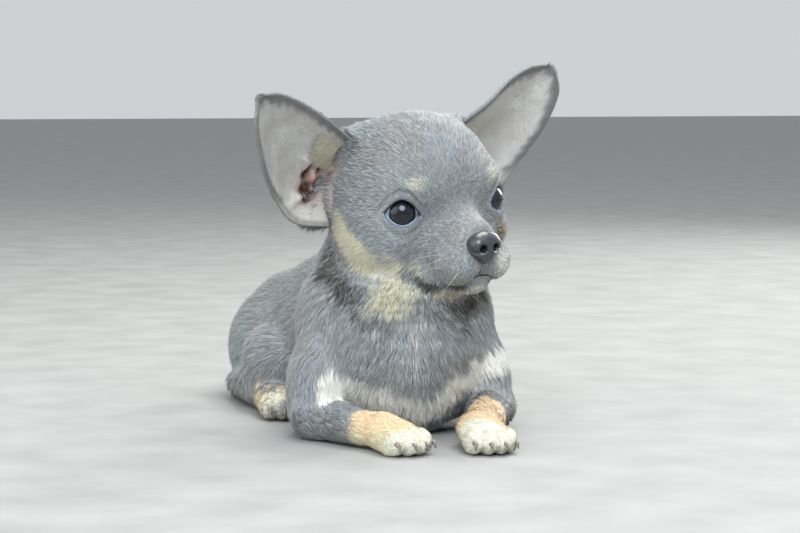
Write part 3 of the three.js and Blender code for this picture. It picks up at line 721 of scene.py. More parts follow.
@dataclass
class Markings:
    """Where the coat is tan, cream or dark, where shade is painted on it, and where the bare skin is pink.

    Each method gives four columns: warmth, from white at -1 over cream at 0 to tan at 1, how pale the
    coat is, how dark it is, from dark fur and painted shade alike, and how pink the bare skin is.
    """

    figure: Figure
    cheek: tuple = ((29, 1, -10), (28.8, -6, -17.7), (26.8, -12, -22), (21.6, -17.5, -27), (17, -20, -32))
    jaw: tuple = ((24, -8, -31), (17, -19, -35), (9, -27, -37), (0, -33, -37))
    chest: tuple = (
        ((-31, -49, 20.5), (-25, -43, 19.5), (-19.6, -44, 18.5),
         (-14.5, -47, 17), (-9, -49.5, 15), (0, -49.5, 11)),
        ((0, -49, 11), (4.4, -49.5, 12.8), (7.7, -50.6, 17), (12.6, -50.3, 22.3),
         (19.9, -46.7, 24.8), (26.8, -43.5, 27), (34, -38.4, 28)),
    )
    tan_from: dict = field(default_factory=lambda: {"left": -13.0, "right": 0.0})
    white_from: dict = field(default_factory=lambda: {"left": 12.0, "right": 19.0})

    def paint(self, marks: Array, amount: Array, warmth: float, dark: float = 0.0) -> None:
        """Adds a patch of pale coat with its own warmth, and with dark, painted shade over it."""
        share = smooth_step(0.0, 0.25, amount)
        marks[:, 0] += (warmth - marks[:, 0]) * share
        marks[:, 1] = np.maximum(marks[:, 1], amount)
        marks[:, 2] = np.maximum(marks[:, 2], amount * dark)

    def head(self, q: Array) -> Array:
        """The head's markings at points of its own frame, with painted shade and painted rim light in places.

        Args:
            q: points of the head's frame.

        Returns:
            The marks, a row for each point.
        """
        m = np.abs(q) * (1, 0, 0) + q * (0, 1, 1)
        waver = ripple(q, 7, 1) * 1.3
        marks = np.zeros((len(q), 4))
        # The cream along the jaw, darkened as painted shade beneath it.
        jaw = polyline_distance(np.array(self.jaw, float))(m) + waver
        self.paint(marks, 0.55 * (1 - smooth_step(3, 10, jaw)), 0.1, 0.4)
        cheek = polyline_distance(np.array(self.cheek, float))(m) + waver
        self.paint(marks, 0.9 * (1 - smooth_step(2, 11, cheek)), -0.25)
        self.paint(marks, 0.8 * blob(m, (23.1, -14.6, -26.7), (4, 6, 2.2), 0.8), -0.9)
        self.paint(marks, 0.5 * blob(m, (16, -22.7, -24.6), (4.2, 5, 3.0), 0.7), -0.2)
        self.paint(marks, 0.48 * blob(m, (16.0, -29.5, 5.0), (4.6, 6, 3.1), 0.7), -0.45)
        self.paint(marks, 0.45 * blob(m, (0, -41, -34.5), (9, 9, 4), 0.5), -0.5)
        # White on the far side only, at the bridge beside the nose and at the upper lip: pale hairs there,
        # made brighter as painted rim light.
        self.paint(marks, 0.35 * blob(q, (6, -36, -10), (3, 6, 5), 0.8), -1.0)
        self.paint(marks, 0.22 * blob(m, (6, -40, -13), (2.6, 6, 4), 0.8), -1.0)
        self.paint(marks, 0.6 * blob(q, (8, -43, -24), (4, 5, 6), 0.7), -1.0)
        # The tan mark under the far eye, darkened as painted shade on that side only.
        self.paint(marks, 0.6 * blob(q, (19.5, -25.2, -15.5), (3.8, 7, 4.5), 0.6), 0.9, 0.9)
        # Along the mouth line the coat darkens: the lips' dark skin, and painted shade that deepens back to
        # the corner and fills it.
        lips = polyline_distance(np.array(self.figure.head.mouth, float))(m)
        behind = smooth_step(-45, -28, q[:, 1])
        dark = (0.5 + 0.35 * behind) * (1 - smooth_step(0.6, 2.6 + behind, lips + 0.3 * waver))
        dark = np.maximum(dark, 0.7 * blob(m, (13.2, -24, -31.8), (4, 7, 2.4), 0.6))
        eye, high = self.eye_edge(q)
        # Painted shade in the crease over each eye.
        crease_shade = np.exp(-(((eye - 2.5) / 0.9) ** 2)) * smooth_step(1.5, 4.5, high)
        dark = np.maximum(dark, 0.5 * crease_shade * smooth_step(30, 18, m[:, 0]))
        marks[:, 2] = np.maximum(marks[:, 2], dark)
        marks[:, 1] *= 1 - 0.8 * dark
        dark = 0.5 * blob(m, (25.5, -4, 20), (4, 6, 7), 0.6)
        marks[:, 2] = np.maximum(marks[:, 2], dark)
        shade = 0.16 * smooth_step(8, 3, eye + waver) + 0.2 * blob(q, (0, -33, 3), (10, 9, 8), 0.8)
        marks[:, 2] = np.maximum(marks[:, 2], shade * (1 - marks[:, 1]))
        return marks

    def eye_edge(self, q: Array) -> tuple[Array, Array]:
        """How far points of the head's frame are from an eye's opening, and how high over its middle."""
        m = np.abs(q) * (1, 0, 0) + q * (0, 1, 1)
        back = self.figure.head.eye_matrix(1).inverted()
        e = m @ np.array(back.to_3x3()).T + np.array(back.translation)
        return np.where(e[:, 1] > 0, 99.0, self.figure.head.almond(e)), e[:, 2]

    def body(self, p: Array) -> Array:
        """The body's markings, with painted shade under the jaw and chin, down the neck's sides and low
        between the forelegs.

        Args:
            p: points of the puppy's frame.

        Returns:
            The marks, a row for each point.
        """
        waver = ripple(p, 9, 2)
        marks = np.zeros((len(p), 4))
        w = p + np.stack([ripple(p, 8, 3), ripple(p, 8, 4), ripple(p, 8, 5)], 1) * 1.4
        left_line, right_line = (polyline_distance(np.array(line, float)) for line in reversed(self.chest))
        # The throat's cream, darkened as painted shade under the jaw.
        self.paint(marks, 0.75 * blob(w, (-6, -47, 52), (15, 9, 7), 0.7), 0.0, 0.45)
        self.paint(marks, 0.4 * blob(w, (-1, -53, 43), (6, 9, 6), 0.8), -0.3)
        self.paint(marks, 0.25 * blob(w, (-3.5, -54, 33), (3, 6, 9), 0.7), -0.8)
        front = smooth_step(-28, -40, w[:, 1]) * smooth_step(24, 34, w[:, 2])
        marks[:, 2] = np.maximum(marks[:, 2], 0.16 * front)
        # Painted shade under the chin: the pale is dulled and the coat darkened.
        chin = blob(w, (6, -50, 48), (11, 8, 5.5), 0.6)
        marks[:, 1] *= 1 - 0.5 * chin
        marks[:, 2] = np.maximum(marks[:, 2], 0.45 * chin)
        bib = np.maximum(1 - smooth_step(3.5, 9.5, right_line(w)), 1 - smooth_step(1.5, 8, left_line(w)))
        bib = np.maximum(bib, blob(w, (1.6, -50, 9), (2.4, 8, 6), 0.5))
        self.paint(marks, bib, -0.9)
        # Painted shadow low on the chest between the forelegs, clear of the white middle.
        below = smooth_step(15, 10.5, w[:, 2]) * smooth_step(-26, -36, w[:, 1])
        below = below * smooth_step(2.5, 5, np.abs(w[:, 0] - 0.5))
        marks[:, 1] *= 1 - 0.8 * below
        marks[:, 2] = np.maximum(marks[:, 2], 0.35 * below)
        for side, leg in self.figure.forelegs.items():
            elbow, wrist, paw = (np.array(v) for v in (leg.elbow, leg.wrist, leg.paw))
            toes = np.array(paw_matrix(leg.paw, leg.heading) @ Vector((0, -14, 0)))
            t = (w - wrist) @ unit(paw - elbow)
            near = 1 - smooth_step(11.5, 15, np.minimum(limb(elbow, paw, 0, 0)(p), limb(paw, toes, 0, 0)(p)))
            high = smooth_step(6.0, 10.0, w[:, 2] + waver)
            start = self.tan_from[side]
            self.paint(marks, near * smooth_step(start - 5, start + 2, t), 0.2)
            self.paint(marks, near * smooth_step(start - 4, start + 3, t) * high, 0.8)
            white = self.white_from[side]
            self.paint(marks, near * smooth_step(white, white + 14, t + waver), -0.6)
            marks[:, 2] *= 1 - near * smooth_step(start - 4, start + 3, t)
        for leg in self.figure.hindlegs.values():
            hock, paw = np.array(leg.hock), np.array(leg.paw)
            near = 1 - smooth_step(9, 14, limb(hock, paw, 0, 0)(p) + waver)
            near *= smooth_step(13, 9, w[:, 2] + waver)
            t = (w - hock) @ unit(paw - hock)
            self.paint(marks, near * 0.8 * smooth_step(36, 46, t), 0.8)
            self.paint(marks, near * smooth_step(58, 64, t + waver), -0.4)
        # A dark fold of fur and painted shadow down each side of the neck, under the cheek.
        neck_fold_and_shadow = ((28, -18, 66), (26, -28, 58), (21, -39, 51), (13, -47, 47))
        fold = polyline_distance(np.array(neck_fold_and_shadow, float))
        side = 0.66 * (1 - smooth_step(2, 11, fold(w * (0, 1, 1) + np.abs(w) * (1, 0, 0))))
        marks[:, 2] = np.maximum(marks[:, 2], side * (1 - marks[:, 1]))
        tail = polyline_distance(self.figure.tail_points)(p)
        under = smooth_step(1, -3, p[:, 2] - 6) * (1 - smooth_step(7, 10, tail))
        under = under * smooth_step(108, 118, p[:, 1])
        self.paint(marks, 0.5 * under, 0.0)
        self.paint(marks, 0.6 * blob(w, (-21, 108, 12), (12, 9, 7), 0.5), 0.5)
        return marks


@dataclass
class Combing:
    """Which way the coat lies, how long it is and how thickly it grows."""

    figure: Figure

    def parts(self) -> list[Field]:
        """Each area's form, in the order of Area."""
        f = self.figure
        out = [f.head_here, f.neck, f.torso]
        for legs in (f.fore, f.hind):
            for side in SIDES:
                out += list(legs[side])
        return out + [f.tail]

    def weights(self, p: Array) -> Array:
        """How much each area counts at each point."""
        d = np.stack([in_pieces(part, p) for part in self.parts()], 1)
        d[:, Area.HEAD.value] -= 1.0
        w = np.exp(-(d - d.min(1, keepdims=True)) / 2.5)
        return w / w.sum(1, keepdims=True)

    def head_lie(self, q: Array) -> Array:
        """The lie of the head's coat: away from the nose, back over the skull, down the cheeks.

        Args:
            q: points of the head's frame.

        Returns:
            Directions in the head's frame, a row for each point.
        """
        nose = np.array(self.figure.head.nose_at) + (0, 4, 2)
        away = unit(q - nose)
        out = away + (0, 0.35, 0)
        cheek = smooth_step(2, -18, q[:, 2]) * smooth_step(-30, -10, q[:, 1])
        out = out + cheek[:, None] * np.array((0, 0.1, -0.75))
        side = np.sign(q[:, 0]) * smooth_step(6, 24, np.abs(q[:, 0])) * smooth_step(-2, 14, q[:, 2])
        out = out + side[:, None] * np.array((0.5, 0, 0))
        lip = smooth_step(-20, -27, q[:, 2]) * smooth_step(-24, -34, q[:, 1])
        out = out + lip[:, None] * np.array((0, 0.2, -0.9))
        return unit(out)

    def lies(self, p: Array) -> list[Array]:
        """The lie of the coat in each area, in the order of Area.

        Args:
            p: points of the puppy's frame.

        Returns:
            For each area, a direction at each point.
        """
        f = self.figure
        turn = np.array(f.head.matrix().to_3x3())
        x, y, _ = p.T
        head = self.head_lie(f.in_head(p)) @ turn.T
        front = smooth_step(-22, -42, y)
        middle = 1 - np.clip(np.abs(x - 1) / 16, 0, 1)
        neck = np.stack([0.25 * np.sign(x - 2) * (1 - middle) * front, 0.5 - 0.75 * front, -0.9 - 0 * y], 1)
        out_x = np.clip((x + 2 + 0.17 * y) / 26, -1, 1)
        down = -0.15 - 0.6 * np.abs(out_x) - 1.0 * front
        back = np.stack([out_x * 0.25 * (1 - front), 1.0 - 1.2 * front, down], 1)
        drop = -1.0 + 0.75 * smooth_step(13, 26, np.abs(x + 1)) * front
        chest = np.stack([(x + 3) / 34, -0.15 + 0 * y, drop], 1)
        back = back * (1 - front[:, None]) + chest * front[:, None]
        lies = [head, neck, back]
        for side in SIDES:
            leg = f.forelegs[side]
            run = unit(np.array(leg.wrist) - np.array(leg.elbow))
            ahead = 0.25 - 0.9 * smooth_step(-30, -52, y)
            upper = np.stack([0.25 * leg.side + 0 * x, ahead, -1.0 + 0 * x], 1)
            lower = np.tile(run + (0, 0, -0.15), (len(p), 1))
            paw = paw_matrix(leg.paw, leg.heading).to_3x3() @ Vector((0, -1, -0.25))
            toes = np.tile(np.array(paw), (len(p), 1))
            lies += [upper, lower, toes]
        for side in SIDES:
            leg = f.hindlegs[side]
            upper = np.stack([0.2 * leg.side + 0 * x, 0.7 + 0 * x, -0.55 + 0 * x], 1)
            run = unit(np.array(leg.paw) - np.array(leg.hock))
            lower = np.tile(run + (0, 0, -0.25), (len(p), 1))
            paw = paw_matrix(leg.paw, leg.heading).to_3x3() @ Vector((0, -1, -0.25))
            toes = np.tile(np.array(paw), (len(p), 1))
            lies += [upper, lower, toes]
        steps = f.tail_points
        nearest = np.argmin(((p[:, None] - steps[None, :-1]) ** 2).sum(2), 1)
        lies.append(unit(np.diff(steps, axis=0))[nearest])
        return lies

    def head_length(self, q: Array) -> Array:
        """How long the head's coat is: shortest on the muzzle, longest behind the cheeks.

        Args:
            q: points of the head's frame.

        Returns:
            Lengths in millimetres.
        """
        _, y, z = q.T
        back = smooth_step(-38, -12, y)
        long = 1.25 + back * (1.15 + 0.9 * smooth_step(-12, 14, y))
        low = smooth_step(-8, -24, z)
        long = long + back * low * (1.0 + 0.8 * smooth_step(-16, 4, y))
        chin = smooth_step(-27, -33, z) * smooth_step(-24, -36, y)
        return long + 0.7 * chin

    def lengths(self, p: Array, weights: Array) -> Array:
        """The coat's length at each point in millimetres.

        Args:
            p: points of the puppy's frame.
            weights: how far each point belongs to each area.

        Returns:
            Lengths in millimetres.
        """
        f = self.figure
        each = [0, 4.4, 4.4] + [4.4, 3.0, 1.9] * 2 + [4.2, 3.0, 1.9] * 2 + [3.4]
        chest = smooth_step(-34, -50, p[:, 1]) * smooth_step(52, 40, p[:, 2]) * smooth_step(7, 14, p[:, 2])
        table = np.tile(np.array(each, float), (len(p), 1))
        table[:, 0] = self.head_length(f.in_head(p))
        table[:, 1] += 1.2 * chest
        table[:, 2] += 1.8 * chest
        for n in (3, 6):
            table[:, n] += 1.2 * chest
        return (table * weights).sum(1)


class Skin:
    """The puppy's skin in one piece with its ears: the net that the coat grows on."""

    def __init__(self, figure: Figure, ears: EarShape) -> None:
        """Keeps the figure and prepares what grows out of the skull.

        Args:
            figure: the puppy's forms.
            ears: the ears' form.
        """
        self.figure, self.ears = figure, ears
        self.combing, self.markings = Combing(figure), Markings(figure)
        self.roots = [self.ear_root(side) for side in SIDES]
        mouth = np.array(figure.head.mouth, float)
        self.lips = settled(figure.head_local, smooth_line(mouth, 22), 6, 3.0)
        steps = np.linspace(0, 1, 6)[:, None]
        cleft = (0, -figure.head.muzzle, -21.5) * (1 - steps) + mouth[0] * steps
        self.cleft = settled(figure.head_local, cleft, 6, 3.0)

    def ear_root(self, side: str) -> tuple[Array, Field, Field]:
        """One ear's root: its middle, the skin that swells up behind it, and the bowl before it.

        Args:
            side: which ear.

        Returns:
            What the first line names, in that order.
        """
        grid = self.ears.grid(side, 25, 11)
        out = unit(np.cross(np.gradient(grid, axis=0), np.gradient(grid, axis=1))) * -SIDES[side]
        steps, hollows = [], []
        for column in range(10):
            top = 3 + round(2 * math.sin(math.pi * column / 10))
            knots = [(0, 1.8), (2, 1.5), (top, 0.7)] if column > 1 else [(0, 1.6), (2, 1.0)]
            rounds = [(grid[row, column] - out[row, column] * (r + 1.7), r) for row, r in knots]
            steps += [limb(a, b, ra, rb) for (a, ra), (b, rb) in zip(rounds, rounds[1:])]
        for column, deep in ((2, 3.0), (3, 4.5), (5, 5.5), (7, 5.5), (9, 5.0)):
            low, high = (grid[row, column] + out[row, column] * (deep + 0.1) for row in (2, 8))
            hollows.append(limb(low, high, deep, deep))
        return grid[2:6].reshape(-1, 3).mean(0), flow(2.5, *steps), flow(1.0, *hollows)

    def head(self, q: Array) -> Array:
        """The head's skin at points of its own frame.

        Args:
            q: points of the head's frame.

        Returns:
            The distances to the skin.
        """
        face = smooth_step(-12, -24, q[:, 1])
        d = self.figure.head_local(q) + 1.0 - 0.65 * face
        for middle, swell, bowl in self.roots:
            near = ((q - middle) ** 2).sum(1) < 30**2
            if near.any():
                d[near] = cut(soft(d[near], swell(q[near]), 4), bowl(q[near]), 1.2)
        front = q[:, 1] < -8
        if front.any():
            d[front] = self.openings(q[front], d[front])
        return d

    def openings(self, q: Array, d: Array) -> Array:
        """The eyes' openings, the folds of the lids, the mouth's line and the cleft under the nose.

        Args:
            q: points of the head's frame.
            d: the distances to the skin without them.

        Returns:
            The distances with them.
        """
        m = np.abs(q) * (1, 0, 0) + q * (0, 1, 1)
        back = self.figure.head.eye_matrix(1).inverted()
        e = m @ np.array(back.to_3x3()).T + np.array(back.translation)
        near = (e**2).sum(1) < 14**2
        if near.any():
            en, dn = e[near], d[near]
            away = self.figure.head.almond(en)
            fold = np.exp(-(((away - 2.3) / 0.55) ** 2)) * smooth_step(-1, 1.5, en[:, 2]) * (en[:, 1] < -2)
            bag = np.exp(-(((away - 2.6) / 0.7) ** 2)) * smooth_step(0, -1.5, en[:, 2]) * (en[:, 1] < -2)
            swell = np.exp(-(((away - 1.0) / 0.7) ** 2)) * (en[:, 1] < -2)
            dn = dn + 0.5 * fold + 0.25 * bag - 0.22 * swell
            d[near] = cut(dn, away, 0.7)
        near = (m[:, 2] < -17) & (m[:, 1] < -10)
        if near.any():
            mn = m[near]
            lips = polyline_distance(self.lips)(mn)
            cleft = polyline_distance(self.cleft)(mn)
            groove = 1.0 * np.exp(-((lips / 0.75) ** 2)) + 0.45 * np.exp(-((cleft / 0.55) ** 2))
            d[near] = d[near] + groove
        return d

    def form(self, p: Array) -> Array:
        """The distance to the skin.

        Args:
            p: points of the puppy's frame.

        Returns:
            The distances, negative inside.
        """
        f = self.figure
        d = soft(f.torso(p), f.neck(p), 13)
        for side in SIDES:
            d = soft(d, f.fore[side][0](p), 7)
            d = soft(d, f.hind[side][0](p), 6)
        d = d + 1.5
        for side in SIDES:
            lower = soft(f.fore[side][1](p) + 0.9, f.fore[side][2](p) + 0.45, 4)
            hind = soft(f.hind[side][1](p) + 0.9, f.hind[side][2](p) + 0.45, 4)
            d = soft(soft(d, lower, 2.4), hind, 2.4)
        d = soft(d, f.tail(p) + 0.9, 5)
        return soft(d, self.head(f.in_head(p)), 6)

    def net(self) -> Surface:
        """The skin's net, finest on the face and flat where it rests."""
        fine = 1.08
        axes = (
            graded((-62, -34, 1.25 * fine), (-34, 42, 0.72 * fine), (42, 67, 1.25 * fine)),
            graded(
                *((-103, -76, 0.95 * fine), (-76, -38, 0.66 * fine)),
                *((-38, 14, 1.05 * fine), (14, 145, 1.9 * fine)),
            ),
            graded((-1.6, 54, 1.05 * fine), (54, 97, 0.66 * fine), (97, 119, 1.0 * fine)),
        )

        def flat(p: Array) -> Array:
            """The skin cut off by the floor."""
            return np.maximum(self.form(p), 0.25 - p[:, 2])

        points, faces = surface_net(flat, axes)
        points = settled(flat, points, 3, 0.5)
        points[:, 2] = np.maximum(points[:, 2], 0.25)
        normals = slopes(self.form, points, 0.25)
        return self.combed(points, faces, normals)

    def combed(self, points: Array, faces: Array, normals: Array) -> Surface:
        """The net with the coat's lie, length, thickness and markings at its points.

        Args:
            points: its points.
            faces: its faces.
            normals: the outward directions at its points.

        Returns:
            The net.
        """
        weights = self.combing.weights(points)
        lie = sum(weights[:, n : n + 1] * v for n, v in enumerate(self.combing.lies(points)))
        lie += 0.22 * np.stack([ripple(points, 13, 20 + n) for n in range(3)], 1)
        lie -= normals * (lie * normals).sum(1, keepdims=True)
        lie = combed_through(lie, normals, faces, 40)
        q = self.figure.in_head(points)
        on_head = smooth_step(0.35, 0.65, weights[:, 0])[:, None]
        marks = self.markings.head(q) * on_head + self.markings.body(points) * (1 - on_head * 0.999)
        area = weights.argmax(1)
        length = self.combing.lengths(points, weights)
        thick = np.ones(len(points))
        eye = np.where(area == 0, self.markings.eye_edge(q)[0], 99)
        thick *= smooth_step(0.1, 0.8, eye)
        length *= 0.45 + 0.55 * smooth_step(1.2, 6, eye)
        nose = egg(self.figure.head.nose_at, [v + 0.7 for v in self.figure.head.nose_half])(q)
        thick *= smooth_step(-0.1, 0.5, nose)
        thick *= smooth_step(0.5, 1.6, points[:, 2])
        cup = np.zeros(len(points))
        for middle, _, bowl in self.roots:
            near = ((q - middle) ** 2).sum(1) < 16**2
            away = bowl(q[near])
            deep = smooth_step(1.0, 3.5, -self.figure.head_local(q[near])) * (area[near] == 0)
            cup[near] = np.maximum(cup[near], smooth_step(2.6, 1.6, np.abs(away)) * deep)
            # Painted shade down in the bowl before each ear.
            marks[near, 2] = np.maximum(marks[near, 2], cup[near] * smooth_step(0.6, 1.3, away))
        thick *= 1 - 0.9 * cup
        marks[:, :2] *= 1 - cup[:, None]
        tone = np.stack([cup, np.maximum(marks[:, 3], 0.35 * cup), smooth_step(0.55, 0.1, eye)], 1)
        return Surface(points, faces, normals, area, unit(lie), marks[:, :3], tone, length, thick)


@dataclass
class Ear:
    """One ear: a leaf of skin with a hollow, folded cup."""

    side: str
    shape: EarShape
    skin: Skin
    along: int = 66
    across: int = 40

    def lattice(self) -> tuple[Array, Array, Array, Array]:
        """The cup's front in the head's frame with its outward directions and each point's place on it."""
        fine = self.shape.grid(self.side, 121, self.across + 1)
        s = np.linspace(0, 1, self.along + 1) ** 1.25
        rows = s * 120
        low = np.minimum(rows.astype(int), 119)
        w = (rows - low)[:, None, None]
        front = fine[low] * (1 - w) + fine[low + 1] * w
        du, dv = np.gradient(front, axis=0), np.gradient(front, axis=1)
        out = unit(np.cross(du, dv)) * -SIDES[self.side]
        u = np.repeat(s[:, None], self.across + 1, 1)
        v = np.repeat(np.linspace(0, 1, self.across + 1)[None], self.along + 1, 0)
        return front, out, u, v

    def folds(self, u: Array, v: Array) -> tuple[Array, Array]:
        """How deep the cup's hollows are, and how high its folds stand, in millimetres.

        Args:
            u: how far each point is from the inner margin out, from 0 to 1.
            v: how far it is from root to tip, from 0 to 1.

        Returns:
            What the first line names, in that order.
        """
        def spot(a: float, b: float, ra: float, rb: float) -> Array:
            """A soft spot on the leaf."""
            return np.exp(-(((u - a) / ra) ** 2) - ((v - b) / rb) ** 2)

        hollow = 1.8 * spot(0.2, 0.63, 0.045, 0.09) + 1.8 * spot(0.11, 0.55, 0.04, 0.11)
        hollow += 1.5 * spot(0.255, 0.5, 0.03, 0.06) + 1.6 * spot(0.15, 0.72, 0.03, 0.06)
        hollow += 1.3 * spot(0.16, 0.4, 0.02, 0.035) + 1.2 * spot(0.24, 0.42, 0.015, 0.06)
        hollow = np.minimum(hollow, 1.5)
        fold = 2.2 * spot(0.19, 0.49, 0.024, 0.05) + 1.5 * spot(0.15, 0.6, 0.02, 0.045)
        fold += 1.4 * spot(0.23, 0.76, 0.035, 0.04) + 1.0 * spot(0.29, 0.42, 0.035, 0.06)
        fold += 1.2 * spot(0.12, 0.74, 0.03, 0.04) + 0.8 * spot(0.1, 0.42, 0.03, 0.05)
        bend = np.exp(-(((u - 0.1 - 0.16 * v) / 0.02) ** 2))
        bend = bend * smooth_step(0.66, 0.74, v) * smooth_step(0.98, 0.9, v)
        ridge = 1.3 * bend + 0.9 * np.exp(-(((v - 0.3 - 0.2 * u) / 0.035) ** 2)) * smooth_step(0.42, 0.3, u)
        return hollow, fold + ridge

    def surface(self) -> Surface:
        """The ear's closed net in the puppy's frame."""
        front, out, u, v = self.lattice()
        hollow, fold = self.folds(u, v)
        front = front + out * (fold - hollow)[..., None]
        thick = self.shape.skin + (self.shape.rim - self.shape.skin) * smooth_step(0.1, 1.0, u)
        back = front - out * (thick + hollow * 0.6 + fold)[..., None]
        edge_out = unit(front[:, -1] - front[:, -2])
        edge_in = unit(front[:, 0] - front[:, 1])
        rim_out = (front[:, -1] + back[:, -1]) / 2 + edge_out * thick[:, -1:] * 0.5
        rim_in = (front[:, 0] + back[:, 0]) / 2 + edge_in * thick[:, :1] * 0.5
        loop = np.concatenate([front, rim_out[:, None], back[:, ::-1], rim_in[:, None]], 1)
        n = loop.shape[1]
        rows = len(loop)
        index = np.arange(rows * n).reshape(rows, n)
        turned = np.roll(index, -1, 1)
        faces = np.stack([index[:-1], turned[:-1], turned[1:], index[1:]], -1).reshape(-1, 4)
        c = self.across + 1
        caps = []
        for row, flip in ((0, True), (rows - 1, False)):
            f, b = index[row, :c], index[row, c + 1 : 2 * c + 1][::-1]
            quads = np.stack([f[:-1], f[1:], b[1:], b[:-1]], 1)
            ends = np.array([[f[-1], index[row, c], b[-1], b[-1]], [b[0], index[row, -1], f[0], f[0]]])
            if flip:
                ends = np.stack([ends[:, 2], ends[:, 1], ends[:, 0], ends[:, 0]], 1)
                quads = quads[:, ::-1]
            caps += [quads, ends]
        faces = np.concatenate([faces, *caps])
        if SIDES[self.side] < 0:
            same = faces[:, 2] == faces[:, 3]
            turned_faces = faces[:, ::-1].copy()
            turned_faces[same] = np.stack([faces[same, 2], faces[same, 1], faces[same, 0], faces[same, 0]], 1)
            faces = turned_faces
        inwards = unit(np.gradient(front, axis=1))
        lie = unit(np.gradient(front, axis=0)) + 0.18 * inwards * (0.5 - v)[..., None]
        inwards = unit(np.gradient(front, axis=1))
        fringe = smooth_step(0.38, 0.26, v) * smooth_step(0.05, 0.12, v) * smooth_step(0.32, 0.2, u)
        combed = lie + inwards * fringe[..., None] * 1.1
        tail_v = np.concatenate([v, v[:, -1:], v[:, ::-1], v[:, :1]], 1)
        tail_u = np.concatenate([u, u[:, -1:], u[:, ::-1], u[:, :1]], 1)
        is_front = np.zeros_like(tail_v)
        is_front[:, :c] = 1

        def pad(a: Array, b: Array) -> Array:
            """Values of the front and of the back in the loop's order."""
            rims = (a[:, -1:] + b[:, -1:]) / 2, (a[:, :1] + b[:, :1]) / 2
            return np.concatenate([a, rims[0], b[:, ::-1], rims[1]], 1)

        normals = np.concatenate([out, edge_out[:, None], -out[:, ::-1], edge_in[:, None]], 1)
        lies = pad(combed, lie)
        margin = np.minimum(tail_v, 1 - tail_v) * 40 * (1 - 0.5 * tail_u)
        tip = (1 - tail_u) * 60
        waver = ripple(loop.reshape(-1, 3), 3.5, 40).reshape(tail_u.shape)
        wide = 2.3 + 2.2 * smooth_step(0.6, 0.95, tail_u)
        rim = smooth_step(wide * 1.2, wide * 0.2, np.minimum(margin, tip) + 0.3 * waver) * is_front
        inner = is_front * (1 - rim * 0.9)
        zero = np.zeros_like(u)
        # The pouch at the margin is not carved: its darkness, like that of the cup's hollows where no fold
        # stands, is painted shade.
        pouch = np.exp(-(((u - 0.33) / 0.03) ** 2) - ((v - 0.96) / 0.05) ** 2)
        shade = np.clip(hollow / 1.2, 0, 1) ** 1.3 * smooth_step(1.6, 0.8, fold)
        dark = pad(np.maximum(shade, 0.6 * pouch), zero)
        pink_here = np.exp(-(((u - 0.17) / 0.1) ** 2) - ((v - 0.56) / 0.22) ** 2)
        pink = pad(np.clip(pink_here * 1.15, 0, 1), zero)
        white = smooth_step(0.42, 0.26, u) * smooth_step(0.62, 0.8, v) * 0.75
        if self.side == "left":
            white = np.maximum(white, 0.8 * smooth_step(0.34, 0.2, u) * smooth_step(0.2, 0.5, v))
        cream = pad(np.clip(np.maximum(fringe, white), 0, 1), zero) * (1 - dark)
        warmth = -0.2 if self.side == "right" else -0.4
        tan = pad(np.where(fringe > white, warmth, -1.0), zero)
        dark = np.maximum(dark, 0.5 * rim)
        length = np.where(is_front > 0, 1.0 + 3.4 * pad(fringe, zero), 1.7)
        amount = np.where(is_front > 0, 0.4 + 1.2 * pad(fringe, zero), 1.0) * (1 - np.clip(dark * 3, 0, 1))
        amount *= 1 - 0.75 * pad(pink_here, zero) * (1 - pad(fringe, zero))
        matrix = self.skin.figure.head.matrix()
        turn, at = np.array(matrix.to_3x3()), np.array(matrix.translation)
        points = loop.reshape(-1, 3) @ turn.T + at
        buried = smooth_step(0.0, 0.5, self.skin.form(points))
        count = len(points)
        area = np.full(count, Area.EAR_LEFT.value if self.side == "left" else Area.EAR_RIGHT.value)
        marks = np.stack([tan, cream, dark], -1).reshape(-1, 3)
        tone = np.stack([inner, pink, np.zeros_like(pink)], -1).reshape(-1, 3)
        return Surface(
            points,
            faces,
            normals.reshape(-1, 3) @ turn.T,
            area,
            unit(lies.reshape(-1, 3)) @ turn.T,
            marks,
            tone,
            length.reshape(-1),
            amount.reshape(-1) * buried,
        )


# Meshes


def to_world(p: Array) -> Array:
    """Millimetres of the puppy's frame as metres of the scene's."""
    return (np.asarray(p) - (*MIDDLE, 0.0)) * MM


def make_mesh(name: str, points: Array, faces: Array, smooth: bool = True) -> Piece:
    """A mesh object from points in metres and faces of three or four corners.

    Args:
        name: the piece's name.
        points: the corners' places.
        faces: rows of corners; a four-cornered row whose last two are equal is a triangle.
        smooth: whether it is shaded smooth.

    Returns:
        The object, linked to the scene.
    """
    mesh = bpy.data.meshes.new(name)
    mesh.vertices.add(len(points))
    mesh.vertices.foreach_set("co", np.ascontiguousarray(points, np.float32).ravel())
    if faces.shape[1] == 4:
        sizes = np.where(faces[:, 2] == faces[:, 3], 3, 4)
        keep = np.ones(faces.shape, bool)
        keep[:, 3] = sizes == 4
        loops = faces[keep]
    else:
        sizes = np.full(len(faces), 3)
        loops = faces.ravel()
    mesh.loops.add(len(loops))
    mesh.loops.foreach_set("vertex_index", loops.astype(np.int32))
    mesh.polygons.add(len(faces))
    mesh.polygons.foreach_set("loop_start", (np.cumsum(sizes) - sizes).astype(np.int32))
    mesh.polygons.foreach_set("use_smooth", np.full(len(faces), smooth))
    mesh.update(calc_edges=True)
    piece = bpy.data.objects.new(name, mesh)
    bpy.context.scene.collection.objects.link(piece)
    return piece


def give(piece: Piece, name: str, values: Array) -> None:
    """Gives each point of a mesh three numbers under a name."""
    layer = piece.data.attributes.new(name, "FLOAT_VECTOR", "POINT")
    layer.data.foreach_set("vector", np.ascontiguousarray(values, np.float32).ravel())


